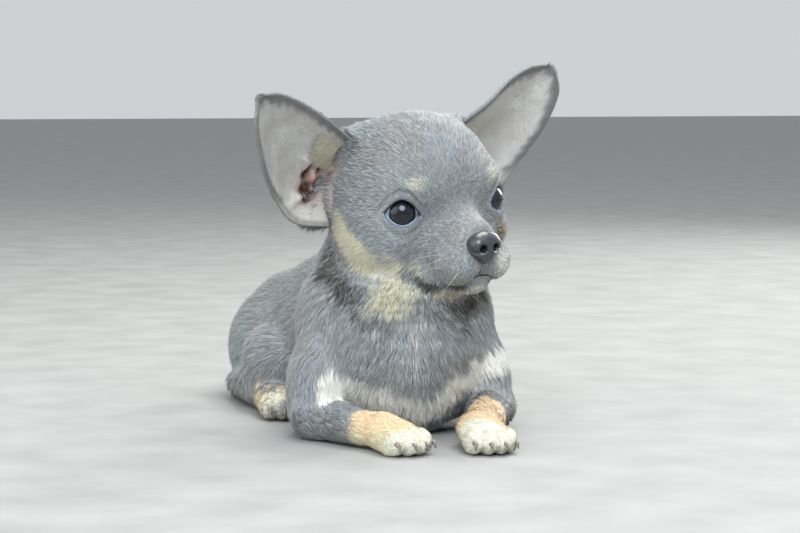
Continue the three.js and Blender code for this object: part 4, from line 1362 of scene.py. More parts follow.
def place(piece: Piece, material: Material, nodes: Sequence[str] = ()) -> None:
    """Dresses a piece in its finish, hangs it on the body's root and hides the CAD model's nodes that it
    replaces.

    Args:
        piece: the piece.
        material: its finish.
        nodes: the nodes of the CAD model that it replaces.
    """
    piece.data.materials.clear()
    piece.data.materials.append(material)
    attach(piece, "root")
    if nodes:
        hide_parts(*nodes)
    log.info("%s: %d faces", piece.name, len(piece.data.polygons))


class StrandTree:
    """A Geometry Nodes tree that turns lines of a mesh into closed, tapering strands."""

    def __init__(self) -> None:
        """Builds the tree once."""
        tree = bpy.data.node_groups.new("tapering strands", "GeometryNodeTree")
        self.tree = tree
        socket = tree.interface.new_socket
        socket("Geometry", in_out="INPUT", socket_type="NodeSocketGeometry")
        self.inputs = {}
        for name in ("Root radius", "Middle radius", "Tip radius"):
            self.inputs[name] = socket(name, in_out="INPUT", socket_type="NodeSocketFloat").identifier
        self.inputs["Sides"] = socket("Sides", in_out="INPUT", socket_type="NodeSocketInt").identifier
        self.inputs["Finish"] = socket("Finish", in_out="INPUT", socket_type="NodeSocketMaterial").identifier
        socket("Geometry", in_out="OUTPUT", socket_type="NodeSocketGeometry")
        new, link = tree.nodes.new, tree.links.new
        source, end = new("NodeGroupInput"), new("NodeGroupOutput")
        curve, tube = new("GeometryNodeMeshToCurve"), new("GeometryNodeCurveToMesh")
        ring, along = new("GeometryNodeCurvePrimitiveCircle"), new("GeometryNodeSplineParameter")
        shade, dress = new("GeometryNodeSetShadeSmooth"), new("GeometryNodeSetMaterial")
        real = new("GeometryNodeRealizeInstances")
        mixes = [new("ShaderNodeMix") for _ in range(3)]
        for (a, b), mixed in zip((("Root radius", "Middle radius"), ("Middle radius", "Tip radius")), mixes):
            link(along.outputs["Factor"], mixed.inputs[0])
            link(source.outputs[a], mixed.inputs[2])
            link(source.outputs[b], mixed.inputs[3])
        link(along.outputs["Factor"], mixes[2].inputs[0])
        link(mixes[0].outputs[0], mixes[2].inputs[2])
        link(mixes[1].outputs[0], mixes[2].inputs[3])
        ring.inputs["Radius"].default_value = 1.0
        link(source.outputs["Sides"], ring.inputs["Resolution"])
        link(source.outputs["Geometry"], curve.inputs["Mesh"])
        link(curve.outputs["Curve"], tube.inputs["Curve"])
        link(mixes[2].outputs[0], tube.inputs["Scale"])
        link(ring.outputs["Curve"], tube.inputs["Profile Curve"])
        tube.inputs["Fill Caps"].default_value = True
        link(tube.outputs["Mesh"], shade.inputs["Geometry"])
        link(shade.outputs["Geometry"], real.inputs["Geometry"])
        link(real.outputs["Geometry"], dress.inputs["Geometry"])
        link(source.outputs["Finish"], dress.inputs["Material"])
        link(dress.outputs["Geometry"], end.inputs["Geometry"])

    def strands(
        self,
        name: str,
        lines: Sequence[Array],
        radii: tuple[float, float, float],
        sides: int,
        material: Material,
    ) -> Piece:
        """Closed strands along lines.

        Args:
            name: the piece's name.
            lines: each strand's points in the puppy's frame.
            radii: the radius at the root, the middle and the tip in millimetres.
            sides: how many sides a strand has.
            material: its finish.

        Returns:
            A plain mesh object.
        """
        counts = [len(line) for line in lines]
        starts = np.cumsum(counts) - counts
        steps = [np.stack([np.arange(n - 1), np.arange(1, n)], 1) + s for n, s in zip(counts, starts)]
        edges = np.concatenate(steps)
        mesh = bpy.data.meshes.new(name)
        mesh.from_pydata(to_world(np.concatenate(lines)).tolist(), edges.tolist(), [])
        carrier = bpy.data.objects.new(name, mesh)
        bpy.context.scene.collection.objects.link(carrier)
        modifier = carrier.modifiers.new("strands", "NODES")
        modifier.node_group = self.tree
        for key, value in zip(("Root radius", "Middle radius", "Tip radius"), radii):
            modifier[self.inputs[key]] = value * MM
        modifier[self.inputs["Sides"]] = sides
        modifier[self.inputs["Finish"]] = material
        bpy.context.view_layer.update()
        shaped = carrier.evaluated_get(bpy.context.evaluated_depsgraph_get())
        made = bpy.data.meshes.new_from_object(shaped)
        carrier.modifiers.clear()
        carrier.data = made
        made.name = name
        bpy.data.meshes.remove(mesh)
        return carrier


# Finishes


def colour(code: int) -> tuple[float, float, float, float]:
    """A linear colour from a hexadecimal sRGB one."""
    parts = [((code >> shift) & 255) / 255 for shift in (16, 8, 0)]
    return (*(c / 12.92 if c < 0.04045 else ((c + 0.055) / 1.055) ** 2.4 for c in parts), 1.0)


class Nodes:
    """A short way to put shader nodes together."""

    def __init__(self, tree: bpy.types.NodeTree) -> None:
        """Keeps the tree."""
        self.tree = tree

    def add(self, kind: str, inputs: Optional[dict] = None, **settings: object) -> bpy.types.Node:
        """A node with its settings, and with values or links for its inputs.

        Args:
            kind: the node's type.
            inputs: values or links for its inputs, by name or number.
            settings: its other settings.

        Returns:
            The node.
        """
        node = self.tree.nodes.new(kind)
        for name, value in settings.items():
            setattr(node, name, value)
        for name, value in (inputs or {}).items():
            target = node.inputs[name]
            if isinstance(value, Socket):
                self.tree.links.new(value, target)
            else:
                target.default_value = value
        return node

    def mix(self, factor: object, a: object, b: object) -> Socket:
        """A mix of two colours.

        Args:
            factor: how much of the second it holds.
            a: the first colour.
            b: the second colour.

        Returns:
            The link to the mixed colour.
        """
        node = self.add("ShaderNodeMix", data_type="RGBA")
        for index, value in ((0, factor), (6, a), (7, b)):
            if isinstance(value, Socket):
                self.tree.links.new(value, node.inputs[index])
            else:
                node.inputs[index].default_value = value
        return node.outputs[2]

    def sum(self, operation: str, *values: object) -> Socket:
        """The result of a calculation.

        Args:
            operation: what is calculated.
            values: what it is calculated from.

        Returns:
            The link to the result.
        """
        node = self.add("ShaderNodeMath", operation=operation)
        for index, value in enumerate(values):
            if isinstance(value, Socket):
                self.tree.links.new(value, node.inputs[index])
            else:
                node.inputs[index].default_value = value
        return node.outputs[0]

    def spread(self, value: Socket, low: float, high: float, a: float = 0, b: float = 1) -> Socket:
        """A value taken from one range to another."""
        node = self.add("ShaderNodeMapRange", {0: value, 1: low, 2: high, 3: a, 4: b})
        return node.outputs[0]

    def noise(self, size: float, detail: float = 3) -> Socket:
        """Noise whose lumps are about the given size in millimetres."""
        at = self.add("ShaderNodeTexCoord").outputs["Object"]
        inputs = {"Vector": at, "Scale": 1 / (size * MM), "Detail": detail}
        return self.add("ShaderNodeTexNoise", inputs).outputs[0]

    def named(self, name: str) -> Socket:
        """The three numbers that each point has under a name."""
        node = self.add("ShaderNodeAttribute", attribute_name=name, attribute_type="GEOMETRY")
        return node.outputs["Vector"]


@dataclass(frozen=True)
class CoatColours:
    """The coat's and the skin's colours."""

    blue: int = 0x989DA0
    # The deep blue under the blue coat's tips: undercoat, and painted shade between the hairs.
    blue_deep: int = 0x63666A
    blue_warm: int = 0x8F8D89
    silver: int = 0xCFD5D9
    # The ground under cream, white and tan coat: undercoat, and painted shade between the hairs.
    pale_undercoat_and_shade: int = 0x8A8064
    white_undercoat_and_shade: int = 0xB9B4A8
    earth_tan: int = 0xC9A981
    tan: int = 0xF0D2AC
    cream: int = 0xDFD8A8
    white: int = 0xF2F0E8
    # Dark serves dark fur and painted shade alike.
    dark: int = 0x3F3C36
    ear: int = 0xD0D0CA
    ear_warm: int = 0xB9B2AD
    pink: int = 0xC09486
    # Hollow is painted shade down in the ears' hollows and in the bowls before them.
    hollow: int = 0x3A1D17
    rim: int = 0x6F7A88


class CoatGroups:
    """The node groups that the skin and the coat share."""

    def __init__(self, colours: CoatColours) -> None:
        """Builds the colour group and the normal group."""
        self.colours = colours
        self.colour = self.make_colour()
        self.normal = self.make_normal()

    def make_colour(self) -> bpy.types.NodeTree:
        """The coat's colour from the marks, with a darker ground under paler tips: the undercoat, and painted
        shade down between the hairs.
        """
        c = self.colours
        tree = bpy.data.node_groups.new("coat colour", "ShaderNodeTree")
        face = tree.interface
        face.new_socket("Strand", in_out="INPUT", socket_type="NodeSocketFloat")
        face.new_socket("Tip", in_out="INPUT", socket_type="NodeSocketFloat")
        face.new_socket("Clump", in_out="INPUT", socket_type="NodeSocketFloat")
        face.new_socket("Color", in_out="OUTPUT", socket_type="NodeSocketColor")
        n = Nodes(tree)
        source, end = n.add("NodeGroupInput"), n.add("NodeGroupOutput")
        strand, tip, clump = (source.outputs[name] for name in ("Strand", "Tip", "Clump"))
        marks = n.add("ShaderNodeSeparateXYZ", {0: n.named("marks")})
        tone = n.add("ShaderNodeSeparateXYZ", {0: n.named("tone")})
        broad = n.noise(26, 2)
        blue = n.mix(n.spread(broad, 0.35, 0.7), colour(c.blue), colour(c.blue_warm))
        shade = n.sum("ADD", n.sum("MULTIPLY", strand, 0.85), n.sum("MULTIPLY", clump, 0.15))
        # Darker towards the root: the undercoat, and painted shade between the hairs; dark strands darken
        # too.
        deep = n.sum("MAXIMUM", n.spread(tip, 0.0, 0.7, 0.9, 0), n.spread(shade, 0.1, 0.5, 0.8, 0))
        blue = n.mix(deep, blue, colour(c.blue_deep))
        silver = n.sum("MULTIPLY", n.spread(shade, 0.5, 0.95, 0, 0.9), n.spread(tip, 0.2, 0.8, 0.2, 1))
        blue = n.mix(silver, blue, colour(c.silver))
        pale = n.mix(n.spread(strand, 0.1, 1, 0, 0.7), colour(c.cream), colour(c.white))
        pale = n.mix(n.spread(marks.outputs[0], 0, -1), pale, colour(c.white))
        warm = n.mix(n.spread(marks.outputs[0], 0, 1), pale, colour(c.tan))
        # The pale coat's darker ground towards the root: likewise undercoat and painted shade between the
        # hairs.
        ground = n.sum("MAXIMUM", n.spread(tip, 0, 0.6, 0.5, 0), n.spread(strand, 0.1, 0.5, 0.6, 0))
        pale_undercoat_and_shade = n.mix(n.spread(marks.outputs[0], 0, -1), colour(c.pale_undercoat_and_shade), colour(c.white_undercoat_and_shade))
        warm = n.mix(ground, warm, n.mix(n.spread(marks.outputs[0], 0, 1), pale_undercoat_and_shade, colour(c.earth_tan)))
        coat = n.mix(marks.outputs[1], blue, warm)
        inner = n.mix(n.spread(n.noise(9, 3), 0.3, 0.75), colour(c.ear), colour(c.ear_warm))
        inner = n.mix(n.sum("MULTIPLY", marks.outputs[1], 0.8), inner, warm)
        coat = n.mix(tone.outputs[0], coat, inner)
        bare = n.sum("MULTIPLY", tone.outputs[1], n.spread(n.noise(2.2, 3), 0.25, 0.6, 0.6, 1))
        coat = n.mix(bare, coat, colour(c.pink))
        # The marks' dark column, dark fur and painted shade alike, goes to dark, and in the ears and their
        # bowls to the red-brown of painted shade in a hollow.
        dark = n.mix(tone.outputs[0], colour(c.dark), colour(c.hollow))
        coat = n.mix(marks.outputs[2], coat, dark)
        coat = n.mix(n.sum("MULTIPLY", tone.outputs[2], 0.85), coat, colour(c.rim))
        n.tree.links.new(coat, end.inputs["Color"])
        return tree

    def make_normal(self) -> bpy.types.NodeTree:
        """The shading direction: between the strand's own and the skin's under it."""
        tree = bpy.data.node_groups.new("soft coat normal", "ShaderNodeTree")
        tree.interface.new_socket("Softness", in_out="INPUT", socket_type="NodeSocketFloat")
        tree.interface.new_socket("Normal", in_out="OUTPUT", socket_type="NodeSocketVector")
        n = Nodes(tree)
        source, end = n.add("NodeGroupInput"), n.add("NodeGroupOutput")
        own = n.add("ShaderNodeNewGeometry").outputs["Normal"]
        mixed = n.add("ShaderNodeMix", data_type="VECTOR")
        tree.links.new(source.outputs[0], mixed.inputs[0])
        tree.links.new(own, mixed.inputs[4])
        tree.links.new(n.named("under"), mixed.inputs[5])
        norm = n.add("ShaderNodeVectorMath", {0: mixed.outputs[1]}, operation="NORMALIZE")
        tree.links.new(norm.outputs[0], end.inputs[0])
        return tree


def new_material(name: str) -> tuple[Material, Nodes, bpy.types.Node]:
    """A material with its nodes and its main shader.

    Args:
        name: its name.

    Returns:
        The material, its nodes and its main shader.
    """
    material = bpy.data.materials.new(name)
    material.use_nodes = True
    n = Nodes(material.node_tree)
    shader = material.node_tree.nodes["Principled BSDF"]
    return material, n, shader


def connect(n: Nodes, shader: bpy.types.Node, **values: object) -> None:
    """Sets or links a shader's inputs; an underscore stands for a space.

    Args:
        n: the material's nodes.
        shader: the shader.
        values: a value or a link for each input.
    """
    for name, value in values.items():
        target = shader.inputs[name.replace("_", " ")]
        if isinstance(value, Socket):
            n.tree.links.new(value, target)
        else:
            target.default_value = value


def bump(n: Nodes, height: Socket, depth: float, strength: float) -> Socket:
    """A bumped normal with a depth in millimetres."""
    inputs = {"Height": height, "Distance": depth * MM, "Strength": strength}
    return n.add("ShaderNodeBump", inputs).outputs["Normal"]


class Finishes:
    """Every material of the puppy and the floor."""

    def __init__(self) -> None:
        """Builds the shared groups and the materials."""
        self.groups = CoatGroups(CoatColours())
        self.skin = self.make_skin()
        self.coat = self.make_coat()
        self.nose = self.make_nose()
        self.eye = self.make_eye()
        self.lid = self.plain("wet dark lid", 0x1E1F23, 0.3, 0.6, 0.4)
        self.pale_lid = self.plain("pale lower lid", 0x77828F, 0.3, 0.6, 0.5)
        self.wet = self.plain("wet lid line", 0xB9C4D0, 0.12, 0.5, 0.8)
        self.caruncle = self.plain("pink eye corner", 0x8E4A44, 0.18, 0.4, 0.8)
        self.lip = self.plain("dark lip", 0x1F1E1D, 0.35, 0.5, 0.3)
        self.whisker = self.plain("whisker", 0xE9E8E4, 0.35, 0.3, 0.0)
        self.lash = self.plain("lash", 0x2B2B2E, 0.4, 0.3, 0.0)
        self.claw = self.make_claw()
        self.floor = self.plain("pale floor", 0x9FA09E, 0.8, 30, 0.0)

    def plain(self, name: str, code: int, rough: float, grain: float, coat: float) -> Material:
        """A finish of one colour that varies a little, with a fine grain.

        Args:
            name: the material's name.
            code: its colour.
            rough: its middle roughness.
            grain: the grain's size in millimetres.
            coat: how wet it is.
        """
        material, n, shader = new_material(name)
        noise = n.noise(grain, 3)
        deep = tuple(v * 0.82 for v in colour(code)[:3]) + (1.0,)
        connect(n, shader, Base_Color=n.mix(n.spread(noise, 0.3, 0.7), deep, colour(code)))
        connect(n, shader, Roughness=n.spread(noise, 0.3, 0.7, rough * 0.9, rough * 1.1), Coat_Weight=coat)
        shader.inputs["Coat Roughness"].default_value = 0.06
        connect(n, shader, Normal=bump(n, noise, grain * 0.04, 0.5))
        return material

    def make_skin(self) -> Material:
        """The skin with its short underfur."""
        material, n, shader = new_material("skin and underfur")
        grain = n.noise(0.45, 3)
        tone = n.add("ShaderNodeSeparateXYZ", {0: n.named("tone")})
        group = n.add("ShaderNodeGroup", node_tree=self.groups.colour)
        fleck = n.spread(n.noise(0.8, 2), 0.3, 0.7, 0.25, 0.7)
        # The skin takes the coat's root colour, darker than the hairs: underfur, and painted shade beneath
        # them.
        tip = n.spread(grain, 0.3, 0.7, 0.05, 0.4)
        for name, value in (("Strand", fleck), ("Tip", tip), ("Clump", fleck)):
            n.tree.links.new(value, group.inputs[name])
        connect(n, shader, Base_Color=group.outputs[0])
        bare = n.sum("MAXIMUM", tone.outputs[1], tone.outputs[2])
        connect(n, shader, Roughness=n.spread(bare, 0, 1, 0.78, 0.42))
        shader.inputs["Specular IOR Level"].default_value = 0.3
        shader.inputs["Subsurface Weight"].default_value = 0.0
        shader.inputs["Sheen Weight"].default_value = 0.12
        connect(n, shader, Normal=bump(n, grain, 0.22, 0.5))
        return material

    def make_coat(self) -> Material:
        """The hairs of the coat."""
        material, n, shader = new_material("coat hair")
        strand = n.add("ShaderNodeSeparateXYZ", {0: n.named("strand")})
        group = n.add("ShaderNodeGroup", node_tree=self.groups.colour)
        n.tree.links.new(strand.outputs[0], group.inputs["Strand"])
        n.tree.links.new(strand.outputs[1], group.inputs["Tip"])
        n.tree.links.new(strand.outputs[2], group.inputs["Clump"])
        connect(n, shader, Base_Color=group.outputs[0])
        connect(n, shader, Roughness=n.spread(strand.outputs[0], 0, 1, 0.5, 0.66))
        shader.inputs["Specular IOR Level"].default_value = 0.35
        shader.inputs["Sheen Weight"].default_value = 0.1
        soft_normal = n.add("ShaderNodeGroup", node_tree=self.groups.normal)
        soft_normal.inputs[0].default_value = 0.5
        connect(n, shader, Normal=soft_normal.outputs[0])
        return material

    def make_nose(self) -> Material:
        """Wet, pebbled slate leather."""
        material, n, shader = new_material("wet slate nose")
        at = n.add("ShaderNodeTexCoord").outputs["Object"]
        inputs = {"Vector": at, "Scale": 1 / (0.62 * MM), "Randomness": 0.9}
        cells = n.add("ShaderNodeTexVoronoi", inputs, feature="SMOOTH_F1")
        pebble = n.spread(cells.outputs[0], 0.0, 0.6, 1, 0)
        broad = n.noise(3, 3)
        base = n.mix(n.spread(pebble, 0, 1), colour(0x1D2025), colour(0x3A4049))
        base = n.mix(n.spread(broad, 0.4, 0.7, 0, 0.3), base, colour(0x434954))
        connect(n, shader, Base_Color=base, Roughness=n.spread(broad, 0.3, 0.7, 0.34, 0.46), Coat_Weight=0.6)
        shader.inputs["Coat Roughness"].default_value = 0.16
        connect(n, shader, Normal=bump(n, pebble, 0.11, 0.8))
        return material

    def make_eye(self) -> Material:
        """A wet eye: pupil, slate iris with fine rays, dark edge and the white behind it."""
        material, n, shader = new_material("wet eye")
        disc = n.add("ShaderNodeSeparateXYZ", {0: n.named("disc")})
        radius = disc.outputs[2]
        flat_x = n.sum("DIVIDE", disc.outputs[0], n.sum("ADD", radius, 0.05))
        flat_y = n.sum("DIVIDE", disc.outputs[1], n.sum("ADD", radius, 0.05))
        sunk = n.sum("MULTIPLY", radius, 0.35)
        ray_at = n.add("ShaderNodeCombineXYZ", {0: flat_x, 1: flat_y, 2: sunk}).outputs[0]
        rays = n.add("ShaderNodeTexNoise", {"Vector": ray_at, "Scale": 9.0, "Detail": 4.0}).outputs[0]
        iris = n.mix(n.spread(rays, 0.35, 0.68), colour(0x121820), colour(0x2A3543))
        iris = n.mix(n.spread(radius, 0.46, 0.6, 0, 0.95), iris, colour(0x06080B))
        pupil = n.spread(n.sum("ADD", radius, n.spread(rays, 0, 1, -0.02, 0.02)), 0.3, 0.5, 0.9, 0)
        iris = n.mix(pupil, iris, colour(0x070A0F))
        white = n.mix(n.spread(n.noise(1.5, 3), 0.4, 0.7), colour(0xA3AFBF), colour(0x7E7C84))
        base = n.mix(n.spread(radius, 0.625, 0.665), iris, white)
        connect(n, shader, Base_Color=base, Roughness=n.spread(radius, 0.7, 0.8, 0.12, 0.25), Coat_Weight=1.0)
        shader.inputs["Coat Roughness"].default_value = 0.01
        shader.inputs["Coat IOR"].default_value = 1.42
        shader.inputs["Specular IOR Level"].default_value = 0.15
        connect(n, shader, Normal=bump(n, rays, 0.05, 0.2))
        return material

    def make_claw(self) -> Material:
        """Horn that pales towards its end."""
        material, n, shader = new_material("claw horn")
        streak = n.noise(0.7, 4)
        connect(n, shader, Base_Color=n.mix(n.spread(streak, 0.3, 0.7), colour(0x4A3F3A), colour(0x9A8B80)))
        connect(n, shader, Roughness=n.spread(streak, 0.3, 0.7, 0.26, 0.4), Coat_Weight=0.3)
        connect(n, shader, Normal=bump(n, streak, 0.05, 0.5))
        return material


# The coat


class Chart(Enum):
    """How a piece of coat is unwrapped: round an axis, or over a ball."""

    ROUND = "round"
    BALL = "ball"


@dataclass(frozen=True)
class Patch:
    """One piece of the coat.

    Attributes:
        name: the piece's name.
        hairs: how many hairs it has.
        width: a hair's width in millimetres.
        lift: how far a hair stands up from the skin, in degrees.
        tuft: how wide the tufts are that hairs lean together in.
        bent: whether a hair bends back towards the skin.
        middle: a point inside the piece's flesh, in the puppy's frame.
        axis: the direction of the axis that it is unwrapped round.
        chart: how it is unwrapped.
        wanted: picks the skin's points where it grows, from the surface and the head's frame.
        stretch: how much longer its hairs are than the coat's own length.
        contrast: how much its hairs differ in colour, from 0 to 1.
    """

    name: str
    hairs: int
    width: float
    lift: float
    tuft: float
    bent: bool
    middle: tuple[float, float, float]
    axis: tuple[float, float, float]
    chart: Chart
    wanted: Callable[[Surface, Array], Array]
    stretch: float = 1.0
    contrast: float = 0.6


def of_areas(*areas: Area) -> Callable[[Surface, Array], Array]:
    """Picks the points of some areas."""
    values = [area.value for area in areas]
    return lambda s, q: np.isin(s.area, values)


HEAD_MIDDLE = (4.0, -25.0, 88.0)
PATCHES = (
    Patch("coat_face", 36000, 0.36, 14, 1.0, False, HEAD_MIDDLE, (0, -1, 0), Chart.ROUND,
          lambda s, q: (s.area == 0) & (q[:, 1] < -21), stretch=1.1, contrast=0.75),
    Patch("coat_crown", 28000, 0.44, 14, 1.3, False, HEAD_MIDDLE, (0, 0, 1), Chart.BALL,
          lambda s, q: (s.area == 0) & (q[:, 1] >= -21) & (q[:, 2] > -4), stretch=1.2, contrast=0.85),
    Patch("coat_cheeks", 30000, 0.42, 17, 1.7, False, HEAD_MIDDLE, (0, 0, 1), Chart.BALL,
          lambda s, q: (s.area == 0) & (q[:, 1] >= -21) & (q[:, 2] <= -4), stretch=1.15, contrast=0.8),
    Patch("coat_neck", 30000, 0.46, 16, 2.4, False, (0, -18, 60), (0, 0, 1), Chart.ROUND,
          of_areas(Area.NECK), stretch=1.0, contrast=0.65),
    Patch("coat_chest", 36000, 0.44, 17, 2.8, False, (0, -20, 26), (0, 0, 1), Chart.ROUND,
          lambda s, q: (s.area == 2) & (s.points[:, 1] < -24), stretch=1.0, contrast=0.7),
    Patch("coat_back", 38000, 0.5, 13, 2.2, False, (-3, 30, 30), (0, 1, 0), Chart.ROUND,
          lambda s, q: (s.area == 2) & (s.points[:, 1] >= -24), stretch=1.0, contrast=0.42),
    Patch("coat_foreleg_left", 20000, 0.4, 9, 2.0, False, (25, -45, 16), (0, 1, 0), Chart.ROUND,
          of_areas(Area.FORE_UPPER_LEFT, Area.FORE_LOWER_LEFT, Area.FOREPAW_LEFT), stretch=1.0, contrast=0.4),
    Patch("coat_foreleg_right", 20000, 0.4, 9, 2.0, False, (-27, -45, 16), (0, 1, 0), Chart.ROUND,
          of_areas(Area.FORE_UPPER_RIGHT, Area.FORE_LOWER_RIGHT, Area.FOREPAW_RIGHT),
          stretch=1.0, contrast=0.4),
    Patch("coat_hindleg_left", 15000, 0.46, 14, 2.0, False, (18, 60, 14), (0, 1, 0), Chart.ROUND,
          of_areas(Area.HIND_UPPER_LEFT, Area.HIND_LOWER_LEFT, Area.HINDPAW_LEFT),
          stretch=1.0, contrast=0.42),
    Patch("coat_hindleg_right", 15000, 0.46, 14, 2.0, False, (-36, 55, 14), (0, 1, 0), Chart.ROUND,
          of_areas(Area.HIND_UPPER_RIGHT, Area.HIND_LOWER_RIGHT, Area.HINDPAW_RIGHT),
          stretch=1.0, contrast=0.42),
    Patch("coat_tail", 6000, 0.42, 15, 1.8, False, (-12, 124, 6), (0, 0, 1), Chart.BALL, of_areas(Area.TAIL)),
    Patch("coat_ear_left", 20000, 0.26, 16, 1.0, False, (50, -26, 95), (0, 1, 0), Chart.BALL,
          of_areas(Area.EAR_LEFT)),
    Patch("coat_ear_right", 20000, 0.26, 16, 1.0, False, (-40, -42, 95), (0, 1, 0), Chart.BALL,
          of_areas(Area.EAR_RIGHT)),
)


class Coat:
    """Hairs in solid mesh, combed over the skin."""

    def __init__(self, skin: Skin, surface: Surface, finishes: Finishes) -> None:
        """Keeps the skin that the hairs grow on."""
        self.skin, self.surface, self.finishes = skin, surface, finishes
        self.in_head = skin.figure.in_head(surface.points)

    def roots(self, patch: Patch, dice: np.random.Generator) -> dict[str, Array]:
        """Evenly strewn roots with what the skin knows at each of them.

        Args:
            patch: the piece of the coat.
            dice: the source of chance.

        Returns:
            The roots and what the skin knows there.
        """
        s = self.surface
        wanted = patch.wanted(s, self.in_head)
        faces = s.faces[wanted[s.faces].sum(1) >= 2]
        corner = s.points[faces]
        size = np.linalg.norm(np.cross(corner[:, 2] - corner[:, 0], corner[:, 3] - corner[:, 1]), axis=1) / 2
        value = (s.thick / np.maximum(s.length, 0.9))[faces].mean(1) * size
        total = np.cumsum(value)
        hairs = patch.hairs // 1
        picks = (np.arange(hairs) + dice.uniform(0, 1, hairs)) * (total[-1] / hairs)
        face = faces[np.minimum(np.searchsorted(total, picks), len(faces) - 1)]
        a, b = dice.uniform(0, 1, (2, hairs, 1))
        shares = ((1 - a) * (1 - b), a * (1 - b), a * b, (1 - a) * b)
        out = {}
        for name in ("points", "normals", "lie", "marks", "tone"):
            values = getattr(s, name)
            out[name] = sum(share * values[face[:, n]] for n, share in enumerate(shares))
        out["length"] = sum(share[:, 0] * s.length[face[:, n]] for n, share in enumerate(shares))
        thick = sum(share[:, 0] * s.thick[face[:, n]] for n, share in enumerate(shares))
        keep = thick > 0.08
        return {name: values[keep] for name, values in out.items()}

    def grow(self, patch: Patch, seed: int) -> Piece:
        """One piece of the coat.

        Args:
            patch: which piece.
            seed: the seed of its chance.

        Returns:
            The piece.
        """
        dice = np.random.default_rng(seed)
        r = self.roots(patch, dice)
        root, normal = r["points"], unit(r["normals"])
        count = len(root)
        strand = 0.5 + dice.uniform(-0.5, 0.5, count) * patch.contrast
        long = r["length"] * patch.stretch * dice.uniform(0.6, 1.18, count)
        lie = r["lie"] + dice.normal(0, 0.1, (count, 3))
        lie = unit(lie - normal * (lie * normal).sum(1, keepdims=True))
        side = np.cross(lie, normal)
        ears = r["tone"][:, 0] > 0.3
        lift = dice.normal(patch.lift, 4, count) + 20 * ears * r["marks"][:, 1]
        lift = np.radians(np.clip(lift, 3, 50))[:, None]
        tip = root + long[:, None] * (lie * np.cos(lift) + normal * np.sin(lift))
        cell = np.floor(root / patch.tuft)
        jitter = np.sin(cell @ np.array([[12.9, 78.2, 37.7], [39.3, 11.1, 83.1], [73.2, 52.2, 9.3]])) * 0.35
        clump = np.sin(cell @ (12.9, 78.2, 37.7)) * 43758.5
        clump -= np.floor(clump)
        centre = (cell + 0.5 + jitter) * patch.tuft
        pull = centre - root
        pull -= normal * (pull * normal).sum(1, keepdims=True)
        tip = tip + pull * 0.6 * np.clip(r["length"] / 3.5, 0.2, 1)[:, None] ** 2
        sunk = in_pieces(self.skin.form, tip)
        tip = tip + normal * np.where(ears, 0, np.clip(0.3 - sunk, 0, 2.5))[:, None]
        tip[:, 2] = np.maximum(tip[:, 2], 0.12)
        half = (patch.width * dice.uniform(0.38, 0.62, count))[:, None]
        base = root - normal * 0.12
        ring = [base - side * half, base + side * half, base + normal * half * 1.1]
        rows, along = [*ring], [0.0, 0.0, 0.0]
        faces = [(0, 1, 2)]
        if patch.bent:
            middle = root + (tip - root) * 0.52 + normal * (long * 0.07)[:, None]
            middle[:, 2] = np.maximum(middle[:, 2], 0.2)
            small = half * 0.8
            rows += [middle - side * small, middle + side * small, middle + normal * small * 1.1]
            along += [0.5, 0.5, 0.5]
            faces += [(0, 3, 4), (0, 4, 1), (1, 4, 5), (1, 5, 2), (0, 2, 5), (0, 5, 3)]
        k = len(rows) - 3
        faces += [(k, k + 3, k + 1), (k + 1, k + 3, k + 2), (k, k + 2, k + 3)]
        rows.append(tip)
        along.append(1.0)
        n = len(rows)
        points = np.stack(rows, 1).reshape(-1, 3)
        corners = (np.array(faces)[None] + np.arange(count)[:, None, None] * n).reshape(-1, 3)
        piece = make_mesh(patch.name, to_world(points), corners, smooth=False)
        bar = dice.uniform(0.25, 0.75, (count, 1))
        marks = smooth_step(bar - 0.25, bar + 0.25, r["marks"])
        marks[:, 0] = r["marks"][:, 0]
        give(piece, "marks", np.repeat(marks, n, 0))
        tone = r["tone"].copy()
        give(piece, "tone", np.repeat(tone, n, 0))
        tips = 1 - patch.contrast * (1 - np.tile(along, count))
        give(piece, "strand", np.stack([np.repeat(strand, n), tips, np.repeat(clump, n)], 1))
        give(piece, "under", np.repeat(normal, n, 0))
        self.unwrap(piece, patch, root, np.array(along), corners)
        place(piece, self.finishes.coat)
        return piece

    def unwrap(self, piece: Piece, patch: Patch, root: Array, along: Array, corners: Array) -> None:
        """Lays each hair as a small spot at its root's place on an unwrap of the skin's own shape.

        Args:
            piece: the piece.
            patch: what it was grown from.
            root: the root of each hair.
            along: how far along its hair each point is.
            corners: the point at each corner of a face.
        """
        axis = np.array(patch.axis, float)
        one = unit(np.cross(axis, (0.3, 0.5, 0.81)))
        two = np.cross(axis, one)
        q = root - np.array(patch.middle)
        turn = np.arctan2(q @ two, q @ one) / (2 * math.pi) + 0.5
        high = q @ axis
        if patch.chart is Chart.BALL:
            high = np.arctan2(high, np.hypot(q @ one, q @ two))
        high = (high - high.min()) / (high.max() - high.min())
        place_at = np.stack([turn, high], 1) * 0.988 + 0.004
        offset = np.stack([np.zeros(len(along)), along * 0.003], 1)
        offset[0, 0], offset[1, 0] = -0.0013, 0.0013
        spots = (place_at[:, None] + offset[None]).reshape(-1, 2)
        layer = piece.data.uv_layers.new(name="OFBake")
        layer.data.foreach_set("uv", np.ascontiguousarray(spots[corners.ravel()], np.float32).ravel())


# Eyes, nose, mouth, whiskers and claws


